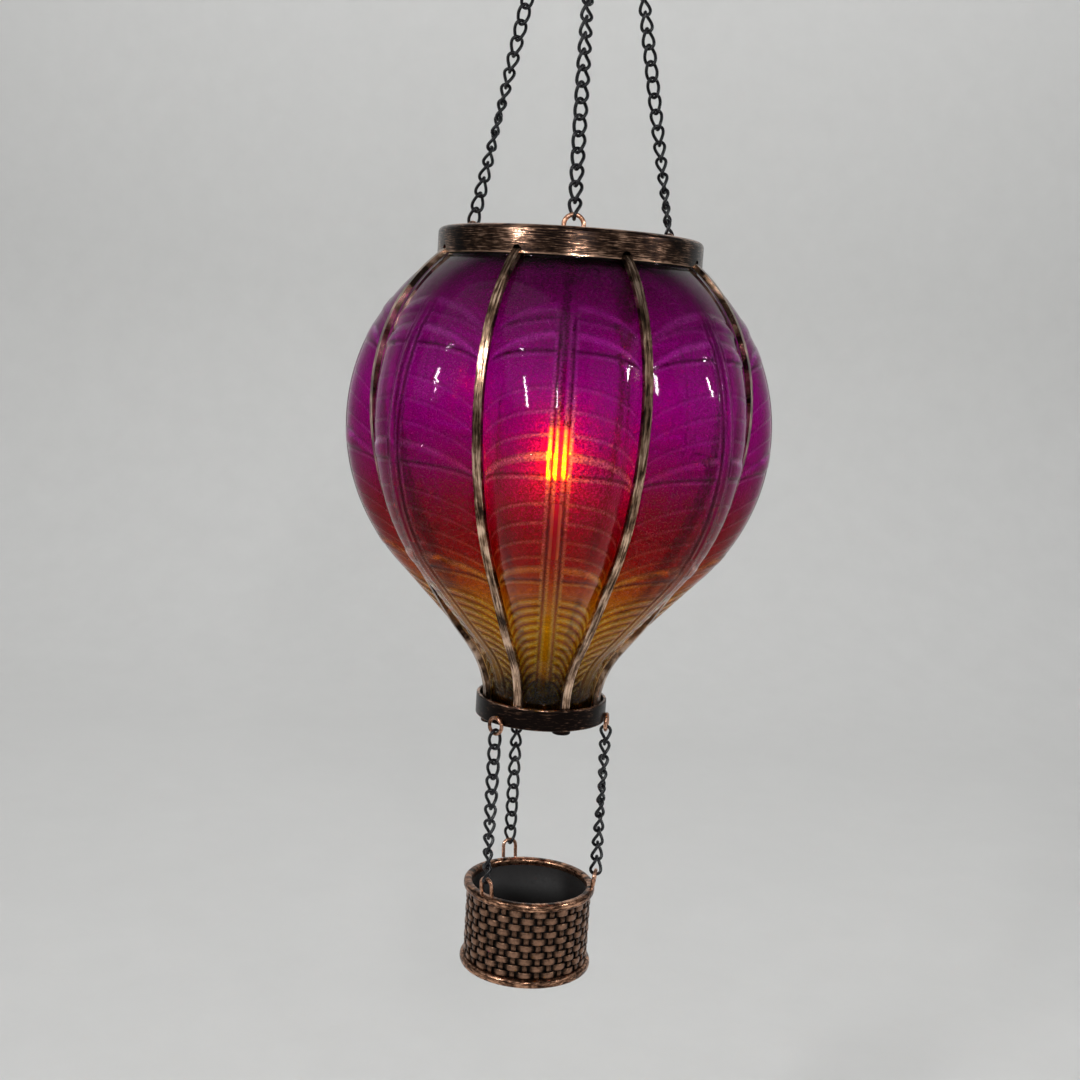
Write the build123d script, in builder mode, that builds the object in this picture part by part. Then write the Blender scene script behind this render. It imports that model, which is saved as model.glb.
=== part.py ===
from build123d import *
from math import asin, atan2, cos, degrees, hypot, pi, radians, sin, sqrt, tan
import os

os.makedirs("parts", exist_ok=True)

# Hanging solar lantern in the shape of a hot-air balloon. Millimetres, +Z up.
# The origin is the point where the hook's crook bears on whatever holds it.
# The front is -Y. "depth" is always measured downwards from the lower edge of
# the cap ring, and "azimuth" turns from the front towards +X, in degrees.

# ---- driving dimensions -------------------------------------------------------
FIT = 0.05  # gap between pieces that rest on one another
PLAY = 0.12  # gap between two loops of wire that hang in one another

HOOK_WIRE = 2.4
CROOK_RADIUS = 9.0
HOOK_EYE_RADIUS = 6.0
HOOK_CENTRES = 30.0

GATHER_RADIUS = 10.0
GATHER_WIRE = 2.0
GATHER_PLAY = 0.25
CHAIN_SPACING = 2.5

LINK_WIRE = 1.35
LINK_WIDTH = 5.6
LINK_PITCH = 6.2
UPPER_LINKS = 32
LOWER_LINKS = 10

CAP_RADIUS = 52.0
CAP_HEIGHT = 10.5
CAP_WALL = 1.8
CAP_LIP_RADIUS = 43.5
CAP_LIP = 1.5
DECK_TOP = -8.0
DECK_SHEET = 1.2
DECK_HOLE_RADIUS = 33.4
CAP_EYELET_RADIUS = 46.2
CAP_EYELET_WIRE = 1.7
CAP_EYELET_ARCH = 3.6

BULGE_RADIUS = 80.5
BULGE_CENTRE = 4.5
BULGE_DEPTH = 65.5
FUNNEL_SLOPE = 44.0
NECK_RADIUS = 23.2
NECK_FLARE = 35.0
NECK_DEPTH = 176.0
GLASS_TOP = 0.3
GLASS_WALL = 2.0
GORES = 8
GROOVE_TOP = 0.0195
GROOVE_DEEPEST = 0.19
GROOVE_NECK = 0.03
GROOVE_DEEPEST_DEPTH = 115.0
GROOVE_FADE_DEPTH = 165.0

RIB_WIDTH = 3.3
RIB_HEIGHT = 2.0
RIB_CLEARANCE = 0.15
RIB_NOTCH_DEPTH = 3.0
BEAD_RADIUS = 1.3
BEAD_CIRCLE = 23.95
BEAD_GAP = 0.1

BASE_RADIUS = 26.7
BASE_WALL = 1.2
BASE_TOP = 174.3
BASE_BOTTOM = 182.9
LEDGE_DEPTH = 177.0
LEDGE_SHEET = 1.4
BASE_SCREW_CIRCLE = 22.0
BASE_SCREW_HEAD = 3.75
BASE_SCREW_HEAD_HEIGHT = 1.8
BASE_SCREW_RADIUS = 1.5
BASE_SCREW_START = 22.5
LEDGE_BORE = 14.0
PLATE_SHEET = 1.4

EYELET_RADIUS = 27.5
EYELET_WIRE = 1.5
EYELET_LOOP = 3.2
EYELET_PIN_DEPTH = 180.0
EYELET_PIN_RADIUS = 0.72
PIN_HEAD_RADIUS = 1.0
PIN_HEAD = 0.6
PIN_INSET = 0.9
LOWER_AZIMUTHS = {"a": -40.0, "b": 80.0, "c": 200.0}
UPPER_AZIMUTHS = {"front": 0.0, "left": -120.0, "right": 120.0}

LID_RADIUS = 37.0
LID_TOP = -10.3
DRUM_RADIUS = 33.0
DRUM_WALL = 1.5
DRUM_FLOOR = 1.2
CELL_SIDE = 45.0
SEAL_RADIUS = 35.0
SEAL_HALF = 0.8
SEAL_HEIGHT = 0.75
CELL_SHEET = 0.4
COVER_SHEET = 0.85
BATTERY_RADIUS = 9.75
BATTERY_HEIGHT = 5.0
BATTERY_Y = 18.0
BATTERY_COVER_RADIUS = 13.0
COVER_SCREW_X = 11.6
COVER_SCREW_RADIUS = 0.9
SWITCH_Y = -17.0
SWITCH_TRAVEL = 3.0
SWITCH_KNOB = 2.0

BOSS_RADIUS = 4.3
BOSS_LENGTH = 7.0
STEM_RADIUS = 1.5
SOCKET_RADIUS = 3.4
SOCKET_TOP = 62.0
GLOBE_TOP = 67.0
GLOBE_BOTTOM = 86.0
GLOBE_RADIUS = 4.2
GLOBE_WALL = 0.8

LED_RADIUS = 2.4

BASKET_RIM_RADIUS = 27.4
BASKET_RADIUS = 25.75
BASKET_BORE_RADIUS = 24.2
BASKET_BEAD = 3.5
BASKET_HEIGHT = 35.7
BASKET_LOOP_LEG = 26.6
BASKET_LOOP_HALF = 2.75
BASKET_FLOOR = 1.6


# ---- levels -------------------------------------------------------------------
crook_z = HOOK_WIRE / 2 - CROOK_RADIUS
hook_eye_z = crook_z - HOOK_CENTRES
hook_eye_bottom = hook_eye_z - HOOK_EYE_RADIUS
gather_top = hook_eye_bottom + (HOOK_WIRE + GATHER_WIRE) / 2 + PLAY
gather_z = gather_top - GATHER_RADIUS
gather_bottom = gather_z - GATHER_RADIUS

# From one wire's centre to the centre of the wire that hangs in it.
link_hold = LINK_WIRE + PLAY
cap_hold = (CAP_EYELET_WIRE + LINK_WIRE) / 2 + PLAY
gather_hold = (GATHER_WIRE + LINK_WIRE) / 2 + GATHER_PLAY
eyelet_hold = (EYELET_WIRE + LINK_WIRE) / 2 + PLAY
link_reach = LINK_PITCH + LINK_WIRE + PLAY  # centre of one end's wire to the other

# The front chain at its natural pitch sets how far the cap hangs below the ring.
cap_eyelet_depth = -CAP_HEIGHT - 0.7 - CAP_EYELET_ARCH
front_chain = UPPER_LINKS * LINK_PITCH + link_hold - cap_hold - gather_hold
cap_drop = sqrt(front_chain**2 - CAP_EYELET_RADIUS**2)
datum = gather_bottom - cap_drop + cap_eyelet_depth

eyelet_depth = EYELET_PIN_DEPTH + 2 * EYELET_LOOP
first_link_depth = eyelet_depth - eyelet_hold + link_reach / 2
last_wire_depth = eyelet_depth - eyelet_hold + (LOWER_LINKS - 1) * LINK_PITCH + link_reach
basket_loop_depth = last_wire_depth - eyelet_hold
basket_top = basket_loop_depth + 7.6
basket_bottom = basket_top + BASKET_HEIGHT


def level(depth):
    """Height of a depth below the cap ring's lower edge."""
    return datum - depth


def outward(azimuth):
    """Unit vector that points away from the axis at an azimuth."""
    return Vector(sin(radians(azimuth)), -cos(radians(azimuth)), 0)


def write(builder, name):
    """Label a finished piece and write it as its own STEP file."""
    builder.part.label = name
    export_step(builder.part, f"parts/{name}.step")


# ---- the balloon's outline ----------------------------------------------------
funnel_start = BULGE_DEPTH + BULGE_RADIUS * sin(radians(90 - FUNNEL_SLOPE))
funnel_radius = BULGE_CENTRE + BULGE_RADIUS * cos(radians(90 - FUNNEL_SLOPE))
flare_start = NECK_DEPTH - NECK_FLARE * sin(radians(FUNNEL_SLOPE))


def crest_radius(depth):
    """Radius of the lobes' crests: a round bulge, a straight funnel, a flared neck."""
    if depth < funnel_start:
        return BULGE_CENTRE + sqrt(BULGE_RADIUS**2 - (depth - BULGE_DEPTH) ** 2)
    if depth > flare_start:
        return NECK_RADIUS + NECK_FLARE - sqrt(NECK_FLARE**2 - (NECK_DEPTH - depth) ** 2)
    flare_radius = NECK_RADIUS + NECK_FLARE * (1 - cos(radians(FUNNEL_SLOPE)))
    along = (depth - funnel_start) / (flare_start - funnel_start)
    return funnel_radius + (flare_radius - funnel_radius) * along


def groove_radius(depth):
    """Radius of the grooves between the lobes, deepest half way down the funnel."""
    if depth < GROOVE_DEEPEST_DEPTH:
        swell = 1 - (1 - depth / GROOVE_DEEPEST_DEPTH) ** 1.25
        share = GROOVE_TOP + (GROOVE_DEEPEST - GROOVE_TOP) * swell
    else:
        fade = min((depth - GROOVE_DEEPEST_DEPTH) / (GROOVE_FADE_DEPTH - GROOVE_DEEPEST_DEPTH), 1)
        share = GROOVE_NECK + (GROOVE_DEEPEST - GROOVE_NECK) * (1 + cos(pi * fade)) / 2
    return crest_radius(depth) * (1 - share)


def rib_bed(depth):
    """Radius at which a flat strip of the rib's width clears both walls of the groove."""
    half = pi / GORES
    groove = groove_radius(depth)
    rise = crest_radius(depth) - groove * cos(half)
    wall_angle = 2 * atan2(rise, groove * sin(half)) - half
    return groove + RIB_WIDTH / 2 * tan(wall_angle) + RIB_CLEARANCE


def rib_point(depth, height):
    """Point in a rib's own plane, a height above its bed."""
    step = 0.5
    above = max(depth - step, 0)
    slope = (rib_bed(depth + step) - rib_bed(above)) / (depth + step - above)
    length = hypot(1, slope)
    return (rib_bed(depth) + height / length, level(depth - height * slope / length))


def lobed_section(crest, groove):
    """Eight shallow arcs around the axis, meeting in eight grooves."""
    half = 180 / GORES
    for lobe in range(GORES):
        middle = lobe * 2 * half
        ThreePointArc(
            outward(middle - half) * groove,
            outward(middle) * crest,
            outward(middle + half) * groove,
        )


# ---- wire, chain and loops ----------------------------------------------------
def bent_wire(path, diameter):
    """Round wire that follows a centre line."""
    with BuildPart() as rod:
        with BuildSketch(Plane(origin=path @ 0, z_dir=path % 0)):
            Circle(diameter / 2)
        sweep(path=path)
    return rod


def upright(azimuth, radius, depth, lean=0.0):
    """Plane that faces outwards, with X along the rim and Y upwards, leaning outwards."""
    out = outward(azimuth)
    along = Vector(-out.Y, out.X, 0)
    facing = out * cos(radians(lean)) - Vector(0, 0, sin(radians(lean)))
    return Plane(origin=out * radius + Vector(0, 0, level(depth)), x_dir=along, z_dir=facing)


def staple(plane, half_width, leg):
    """Centre line of an upright loop: two legs joined by a half circle at the top."""
    with BuildLine(plane) as path:
        Line((-half_width, -leg), (-half_width, 0))
        ThreePointArc((-half_width, 0), (0, half_width), (half_width, 0))
        Line((half_width, 0), (half_width, -leg))
    return path.wire()


with BuildLine(Plane.XZ) as link_path:
    bend = (LINK_WIDTH - LINK_WIRE) / 2
    flat = link_reach / 2 - bend
    Line((-bend, -flat), (-bend, flat))
    ThreePointArc((-bend, flat), (0, flat + bend), (bend, flat))
    Line((bend, flat), (bend, -flat))
    ThreePointArc((bend, -flat), (0, -flat - bend), (-bend, -flat))

link = bent_wire(link_path.wire(), LINK_WIRE)


def run_of_links(first, direction, side, count, pitch, turn, skipped=0):
    """Links at an even pitch along a line, each turned about a quarter further."""
    side = (side - direction * side.dot(direction)).normalized()
    lie = Plane(origin=(0, 0, 0), x_dir=side, z_dir=direction)
    places = []
    for index in range(skipped, skipped + count):
        spot = Plane(origin=first + direction * pitch * index, x_dir=lie.x_dir, z_dir=direction)
        places.append(Location(spot) * Location((0, 0, 0), (0, 0, turn * index)))
    with BuildPart() as run:
        with Locations(*places):
            add(link.part)
    return run


def even_turn(count, offset=0.0):
    """Turn per link, close to a quarter, that ends a run at a given offset."""
    half_turns = round((90 * (count - 1) + offset) / 180)
    return (180 * half_turns - offset) / (count - 1)


# ---- hook and gather ring -----------------------------------------------------
shank_lean = degrees(asin((CROOK_RADIUS + HOOK_EYE_RADIUS) / HOOK_CENTRES))
with BuildLine(Plane.YZ) as hook_path:
    crook = CenterArc((0, crook_z), CROOK_RADIUS, 200, -200 - shank_lean)
    eye = CenterArc((0, hook_eye_z), HOOK_EYE_RADIUS, 180 - shank_lean, 310)
    Line(crook @ 1, eye @ 0)

hanging_hook = bent_wire(hook_path.wire(), HOOK_WIRE)
write(hanging_hook, "hanging_hook")

with BuildPart(Plane.XZ) as gather_ring:
    with Locations((0, gather_z, 0)):
        Torus(GATHER_RADIUS, GATHER_WIRE / 2)
write(gather_ring, "gather_ring")

# ---- three upper chains, from the cap's eyelets to the gather ring --------------
for side_name, azimuth in UPPER_AZIMUTHS.items():
    ring_x = CHAIN_SPACING * (azimuth > 0) - CHAIN_SPACING * (azimuth < 0)
    ring_sag = GATHER_RADIUS - sqrt(GATHER_RADIUS**2 - ring_x**2)
    held = Vector(ring_x, 0, gather_bottom + ring_sag)
    foot = outward(azimuth) * CAP_EYELET_RADIUS + Vector(0, 0, level(cap_eyelet_depth))
    span = held - foot
    pull = span.normalized()
    pitch = (span.length + cap_hold + gather_hold - link_hold) / UPPER_LINKS
    upper_chain = run_of_links(
        foot + pull * (link_reach / 2 - cap_hold),
        pull,
        outward(azimuth),
        UPPER_LINKS,
        pitch,
        even_turn(UPPER_LINKS, azimuth),
    )
    write(upper_chain, f"upper_chain_{side_name}")

# ---- cap ring, its deck and its three eyelets -----------------------------------
cap_inner = CAP_RADIUS - CAP_WALL
lip_under = -CAP_HEIGHT + CAP_LIP
with BuildPart() as cap_ring:
    with BuildSketch(Plane.XZ):
        with BuildLine():
            Polyline(
                (cap_inner, level(0)),
                (CAP_RADIUS, level(0)),
                (CAP_RADIUS, level(-CAP_HEIGHT)),
                (CAP_LIP_RADIUS, level(-CAP_HEIGHT)),
                (CAP_LIP_RADIUS, level(lip_under)),
                (cap_inner, level(lip_under)),
                close=True,
            )
        make_face()
    revolve(axis=Axis.Z)
    top_edges = cap_ring.edges().group_by(Axis.Z)[-1]
    fillet(top_edges.sort_by(SortBy.RADIUS)[-1], radius=2.2)
    fillet(top_edges.sort_by(SortBy.RADIUS)[0], radius=0.6)
    # Arched notches that let the ribs' upper ends in.
    notch = RIB_WIDTH / 2 + RIB_CLEARANCE
    for rib in range(GORES):
        with BuildSketch(upright((rib + 0.5) * 360 / GORES, CAP_RADIUS - RIB_NOTCH_DEPTH, -1.1)):
            Circle(notch)
            with Locations((0, -1.5)):
                Rectangle(2 * notch, 3)
        extrude(amount=5, mode=Mode.SUBTRACT)
    # Holes for the eyelets' legs.
    for azimuth in UPPER_AZIMUTHS.values():
        with BuildSketch(Plane.XY.offset(level(-CAP_HEIGHT))):
            out = outward(azimuth) * CAP_EYELET_RADIUS
            along = Vector(-out.Y, out.X, 0).normalized() * CAP_EYELET_ARCH
            with Locations(out + along, out - along):
                Circle(CAP_EYELET_WIRE / 2 + FIT)
        extrude(amount=-2 * CAP_LIP, mode=Mode.SUBTRACT)
write(cap_ring, "cap_ring")

flange_under = -0.4
deck_wall = CAP_EYELET_RADIUS - DECK_SHEET
with BuildPart() as cap_deck:
    with BuildSketch(Plane.XZ):
        with BuildLine():
            Polyline(
                (cap_inner - 0.2, level(flange_under)),
                (cap_inner - 0.2, level(flange_under - DECK_SHEET)),
                (CAP_EYELET_RADIUS, level(flange_under - DECK_SHEET)),
                (CAP_EYELET_RADIUS, level(DECK_TOP)),
                (DECK_HOLE_RADIUS, level(DECK_TOP)),
                (DECK_HOLE_RADIUS, level(DECK_TOP + DECK_SHEET)),
                (deck_wall, level(DECK_TOP + DECK_SHEET)),
                (deck_wall, level(flange_under)),
                close=True,
            )
        make_face()
    revolve(axis=Axis.Z)
write(cap_deck, "cap_deck")

with BuildPart() as cap_eyelets:
    for azimuth in UPPER_AZIMUTHS.values():
        spring = upright(azimuth, CAP_EYELET_RADIUS, cap_eyelet_depth + CAP_EYELET_ARCH)
        leg = DECK_TOP - 0.3 - (cap_eyelet_depth + CAP_EYELET_ARCH)
        add(bent_wire(staple(spring, CAP_EYELET_ARCH, leg), CAP_EYELET_WIRE).part)
write(cap_eyelets, "cap_eyelets")

# ---- the glass balloon and its gaskets ------------------------------------------
upper_stations = [GLASS_TOP, 6, 13, 22, 33, 46, 60, 74, 87, 98]
lower_stations = [108, 117, 126, 135, 144, 152, 160, 168, NECK_DEPTH]
stations = upper_stations + lower_stations
with BuildPart() as glass_envelope:
    for depth in stations:
        with BuildSketch(Plane.XY.offset(level(depth))):
            with BuildLine():
                lobed_section(crest_radius(depth), groove_radius(depth))
            make_face()
    loft()
    for depth in stations:
        with BuildSketch(Plane.XY.offset(level(depth))):
            with BuildLine():
                lobed_section(crest_radius(depth) - GLASS_WALL, groove_radius(depth) - GLASS_WALL)
            make_face()
    loft(mode=Mode.SUBTRACT)
write(glass_envelope, "glass_envelope")


def flat_ring(outer, inner, top, bottom):
    """Plain ring between two depths."""
    with BuildPart() as ring:
        with BuildSketch(Plane.XY.offset(level(bottom))):
            Circle(outer)
            if inner > 0:
                Circle(inner, mode=Mode.SUBTRACT)
        extrude(amount=bottom - top)
    return ring


top_gasket = flat_ring(cap_inner - 0.3, cap_inner - 2.7, flange_under + FIT, GLASS_TOP - FIT)
write(top_gasket, "top_gasket")

gasket_inner = groove_radius(NECK_DEPTH) - GLASS_WALL - FIT
gasket_outer = min(rib_bed(NECK_DEPTH), BEAD_CIRCLE - BEAD_RADIUS) - 2 * FIT
bottom_gasket = flat_ring(gasket_outer, gasket_inner, NECK_DEPTH + FIT, LEDGE_DEPTH - FIT)
write(bottom_gasket, "bottom_gasket")

# ---- eight ribs in the grooves, and the beads at their feet ----------------------
rib_stations = [0, 8, 20, 38, 58, 82, 106, 126, 144, 158, 168, NECK_DEPTH]
for rib in range(GORES):
    out = outward((rib + 0.5) * 360 / GORES)
    rib_plane = Plane(origin=(0, 0, 0), x_dir=out, z_dir=Vector(-out.Y, out.X, 0) * -1)
    inner = [rib_point(depth, 0) for depth in rib_stations]
    outer = [rib_point(depth, RIB_HEIGHT) for depth in rib_stations]
    foot_level = level(LEDGE_DEPTH - FIT)
    with BuildPart() as rib_strip:
        with BuildSketch(rib_plane):
            with BuildLine():
                Spline(*inner)
                Polyline(inner[-1], (inner[-1][0], foot_level), (outer[-1][0], foot_level), outer[-1])
                Spline(*reversed(outer))
                Line(outer[0], inner[0])
            make_face()
        extrude(amount=RIB_WIDTH / 2, both=True)
    write(rib_strip, f"rib_{rib + 1}")

with BuildPart() as rib_beads:
    for rib in range(GORES):
        seat = upright((rib + 0.5) * 360 / GORES, BEAD_CIRCLE, LEDGE_DEPTH - FIT)
        spot = seat.from_local_coords((RIB_WIDTH / 2 + BEAD_RADIUS + BEAD_GAP, 0, 0))
        with Locations(spot):
            Sphere(BEAD_RADIUS, arc_size1=0, align=(Align.CENTER, Align.CENTER, Align.MIN))
write(rib_beads, "rib_beads")

# ---- bottom ring, its plate, screws and eyelets ----------------------------------
base_inner = BASE_RADIUS - BASE_WALL
ledge_under = LEDGE_DEPTH + LEDGE_SHEET
screw_spots = PolarLocations(BASE_SCREW_CIRCLE, 4, start_angle=BASE_SCREW_START)
with BuildPart() as bottom_ring:
    with BuildSketch(Plane.XZ):
        with BuildLine():
            Polyline(
                (base_inner, level(BASE_TOP)),
                (BASE_RADIUS, level(BASE_TOP)),
                (BASE_RADIUS, level(BASE_BOTTOM)),
                (base_inner, level(BASE_BOTTOM)),
                (base_inner, level(ledge_under)),
                (LEDGE_BORE, level(ledge_under)),
                (LEDGE_BORE, level(LEDGE_DEPTH)),
                (base_inner, level(LEDGE_DEPTH)),
                close=True,
            )
        make_face()
    revolve(axis=Axis.Z)
    rims = bottom_ring.edges().filter_by(GeomType.CIRCLE).sort_by(SortBy.RADIUS)[-2:]
    fillet(rims, radius=0.5)
    with BuildSketch(Plane.XY.offset(level(LEDGE_DEPTH))):
        with screw_spots:
            Circle(BASE_SCREW_RADIUS + FIT)
    extrude(amount=-2 * LEDGE_SHEET, mode=Mode.SUBTRACT)
    pin_planes = [upright(a, base_inner - 1, EYELET_PIN_DEPTH) for a in LOWER_AZIMUTHS.values()]
    for plane in pin_planes:
        with BuildSketch(plane):
            Circle(EYELET_PIN_RADIUS + FIT)
        extrude(amount=4, mode=Mode.SUBTRACT)
write(bottom_ring, "bottom_ring")

with BuildPart() as bottom_plate:
    with BuildSketch(Plane.XY.offset(level(BASE_BOTTOM))):
        Circle(base_inner - FIT)
        with screw_spots:
            Circle(BASE_SCREW_RADIUS + 4 * FIT, mode=Mode.SUBTRACT)
    extrude(amount=PLATE_SHEET)
write(bottom_plate, "bottom_plate")

with BuildPart() as base_screws:
    with BuildSketch(Plane.XY.offset(level(BASE_BOTTOM + FIT))):
        with screw_spots:
            Circle(BASE_SCREW_HEAD)
    extrude(amount=-BASE_SCREW_HEAD_HEIGHT)
    fillet(base_screws.edges().group_by(Axis.Z)[0], radius=0.6)
    with BuildSketch(Plane.XY.offset(level(BASE_BOTTOM + FIT))):
        with screw_spots:
            Circle(BASE_SCREW_RADIUS)
    extrude(amount=BASE_BOTTOM + FIT - LEDGE_DEPTH - 0.6)
write(base_screws, "base_screws")

with BuildPart() as lower_eyelets:
    for azimuth in LOWER_AZIMUTHS.values():
        with Locations(upright(azimuth, EYELET_RADIUS, EYELET_PIN_DEPTH + EYELET_LOOP)):
            Torus(EYELET_LOOP, EYELET_WIRE / 2)
        pin_start = base_inner - PIN_INSET
        with Locations(upright(azimuth, (EYELET_RADIUS + pin_start) / 2, EYELET_PIN_DEPTH)):
            Cylinder(EYELET_PIN_RADIUS, EYELET_RADIUS - pin_start)
        with Locations(upright(azimuth, base_inner - PIN_HEAD, EYELET_PIN_DEPTH)):
            Cylinder(PIN_HEAD_RADIUS, PIN_HEAD)
write(lower_eyelets, "lower_eyelets")

# ---- solar lid --------------------------------------------------------------------
flange_seat = DECK_TOP - FIT
recess_floor = LID_TOP + CELL_SHEET + COVER_SHEET + 2 * FIT
roof_under = recess_floor + 1.1
with BuildPart() as lid_housing:
    with BuildSketch(Plane.XZ):
        with BuildLine():
            Polyline(
                (0, level(LID_TOP)),
                (LID_RADIUS, level(LID_TOP)),
                (LID_RADIUS, level(flange_seat)),
                (DRUM_RADIUS, level(flange_seat)),
                (DRUM_RADIUS, level(DRUM_FLOOR)),
                (DRUM_RADIUS - DRUM_WALL, level(DRUM_FLOOR)),
                (DRUM_RADIUS - DRUM_WALL, level(roof_under)),
                (0, level(roof_under)),
                close=True,
            )
        make_face()
    revolve(axis=Axis.Z)
    fillet(lid_housing.edges().group_by(Axis.Z)[-1], radius=0.6)
    with BuildSketch(Plane.XY.offset(level(LID_TOP))):
        RectangleRounded(CELL_SIDE + 1, CELL_SIDE + 1, 1.5)
    extrude(amount=LID_TOP - recess_floor, mode=Mode.SUBTRACT)
    with BuildSketch(Plane.XY.offset(level(flange_seat))):
        Circle(SEAL_RADIUS + SEAL_HALF + 2 * FIT)
        Circle(SEAL_RADIUS - SEAL_HALF - 2 * FIT, mode=Mode.SUBTRACT)
    extrude(amount=SEAL_HEIGHT + FIT, mode=Mode.SUBTRACT)
write(lid_housing, "lid_housing")

seal_top = flange_seat - SEAL_HEIGHT
lid_seal = flat_ring(SEAL_RADIUS + SEAL_HALF, SEAL_RADIUS - SEAL_HALF, seal_top, flange_seat)
write(lid_seal, "lid_seal")

with BuildPart() as solar_cell:
    with BuildSketch(Plane.XY.offset(level(recess_floor - FIT))):
        Rectangle(CELL_SIDE, CELL_SIDE)
    extrude(amount=CELL_SHEET)
write(solar_cell, "solar_cell")

with BuildPart() as solar_cover:
    with BuildSketch(Plane.XY.offset(level(LID_TOP + COVER_SHEET))):
        RectangleRounded(CELL_SIDE + 0.7, CELL_SIDE + 0.7, 1.4)
    extrude(amount=COVER_SHEET)
write(solar_cover, "solar_cover")

knob_room = SWITCH_KNOB / 2 + PLAY
slot_length = SWITCH_TRAVEL + 2 * knob_room
with BuildPart() as lid_base:
    with BuildSketch(Plane.XY.offset(level(DRUM_FLOOR))):
        Circle(DRUM_RADIUS - DRUM_WALL - 0.1)
        Circle(STEM_RADIUS + 0.1, mode=Mode.SUBTRACT)
        with Locations((0, BATTERY_Y)):
            Circle(BATTERY_RADIUS + 0.25, mode=Mode.SUBTRACT)
        with Locations((-COVER_SCREW_X, BATTERY_Y), (COVER_SCREW_X, BATTERY_Y)):
            Circle(COVER_SCREW_RADIUS + FIT, mode=Mode.SUBTRACT)
        with Locations((0, SWITCH_Y)):
            Rectangle(slot_length, 2 * knob_room, mode=Mode.SUBTRACT)
    extrude(amount=DRUM_FLOOR)
write(lid_base, "lid_base")

with BuildPart() as battery:
    with BuildSketch(Plane.XY.offset(level(0))):
        with Locations((0, BATTERY_Y)):
            Circle(BATTERY_RADIUS)
    extrude(amount=BATTERY_HEIGHT)
    fillet(battery.edges(), radius=0.6)
write(battery, "battery")

with BuildPart() as battery_contacts:
    with BuildSketch(Plane.XY.offset(level(-BATTERY_HEIGHT - FIT))):
        with Locations((0, BATTERY_Y - 4)):
            Rectangle(6, 16)
    extrude(amount=0.4)
    with BuildSketch(Plane.XY.offset(level(-1))):
        with Locations((BATTERY_RADIUS + 0.3, BATTERY_Y)):
            Rectangle(0.4, 6)
    extrude(amount=3)
write(battery_contacts, "battery_contacts")

with BuildPart() as battery_cover:
    with BuildSketch(Plane.XY.offset(level(DRUM_FLOOR + FIT + 1))):
        with Locations((0, BATTERY_Y)):
            Circle(BATTERY_COVER_RADIUS)
        with Locations((-COVER_SCREW_X, BATTERY_Y), (COVER_SCREW_X, BATTERY_Y)):
            Circle(1.0, mode=Mode.SUBTRACT)
    extrude(amount=1)
    with BuildSketch(Plane.XY.offset(level(DRUM_FLOOR + FIT))):
        with Locations((0, BATTERY_Y)):
            Circle(BATTERY_RADIUS + 0.1)
    extrude(amount=DRUM_FLOOR)
write(battery_cover, "battery_cover")

with BuildPart() as cover_screws:
    with BuildSketch(Plane.XY.offset(level(DRUM_FLOOR + 2 * FIT + 1.8))):
        with Locations((-COVER_SCREW_X, BATTERY_Y), (COVER_SCREW_X, BATTERY_Y)):
            Circle(1.3)
    extrude(amount=0.8)
    with BuildSketch(Plane.XY.offset(level(DRUM_FLOOR + 2 * FIT + 1))):
        with Locations((-COVER_SCREW_X, BATTERY_Y), (COVER_SCREW_X, BATTERY_Y)):
            Circle(COVER_SCREW_RADIUS)
    extrude(amount=2)
write(cover_screws, "cover_screws")

with BuildPart() as circuit_board:
    with BuildSketch(Plane.XY.offset(level(-4.4))):
        with Locations((0, SWITCH_Y)):
            Rectangle(30, 18)
    extrude(amount=1.2)
write(circuit_board, "circuit_board")

with BuildPart() as switch_body:
    with BuildSketch(Plane.XY.offset(level(-FIT))):
        with Locations((0, SWITCH_Y)):
            Rectangle(9, 5)
    extrude(amount=4.2)
    with BuildSketch(Plane.XY.offset(level(-FIT))):
        with Locations((0, SWITCH_Y)):
            Rectangle(slot_length, 2 * knob_room)
    extrude(amount=3, mode=Mode.SUBTRACT)
write(switch_body, "switch_body")

with BuildPart() as switch_slider:
    with BuildSketch(Plane.XY.offset(level(DRUM_FLOOR + 1.4))):
        with Locations((-SWITCH_TRAVEL / 2, SWITCH_Y)):
            Rectangle(SWITCH_KNOB, SWITCH_KNOB)
    extrude(amount=DRUM_FLOOR + 1.4 + 2.8)
write(switch_slider, "switch_slider")

# ---- lamp, hung from the lid --------------------------------------------------------
boss_top = DRUM_FLOOR + FIT
with BuildPart() as lamp_boss:
    with BuildSketch(Plane.XZ):
        with BuildLine():
            Line((STEM_RADIUS + FIT, level(boss_top)), (BOSS_RADIUS, level(boss_top)))
            Spline(
                (BOSS_RADIUS, level(boss_top)),
                (2.6, level(boss_top + 2.6)),
                (2.1, level(boss_top + BOSS_LENGTH)),
            )
            Polyline(
                (2.1, level(boss_top + BOSS_LENGTH)),
                (STEM_RADIUS + FIT, level(boss_top + BOSS_LENGTH)),
                (STEM_RADIUS + FIT, level(boss_top)),
            )
        make_face()
    revolve(axis=Axis.Z)
write(lamp_boss, "lamp_boss")

lamp_stem = flat_ring(STEM_RADIUS, 0.9, 0.3, SOCKET_TOP + 1.9)
write(lamp_stem, "lamp_stem")

with BuildPart() as led_socket:
    with BuildSketch(Plane.XY.offset(level(GLOBE_TOP))):
        Circle(SOCKET_RADIUS - FIT)
    extrude(amount=GLOBE_TOP - SOCKET_TOP)
    fillet(led_socket.edges().group_by(Axis.Z)[-1], radius=0.8)
    with BuildSketch(Plane.XY.offset(level(SOCKET_TOP))):
        Circle(STEM_RADIUS + FIT)
    extrude(amount=-2, mode=Mode.SUBTRACT)
write(led_socket, "led_socket")

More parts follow.
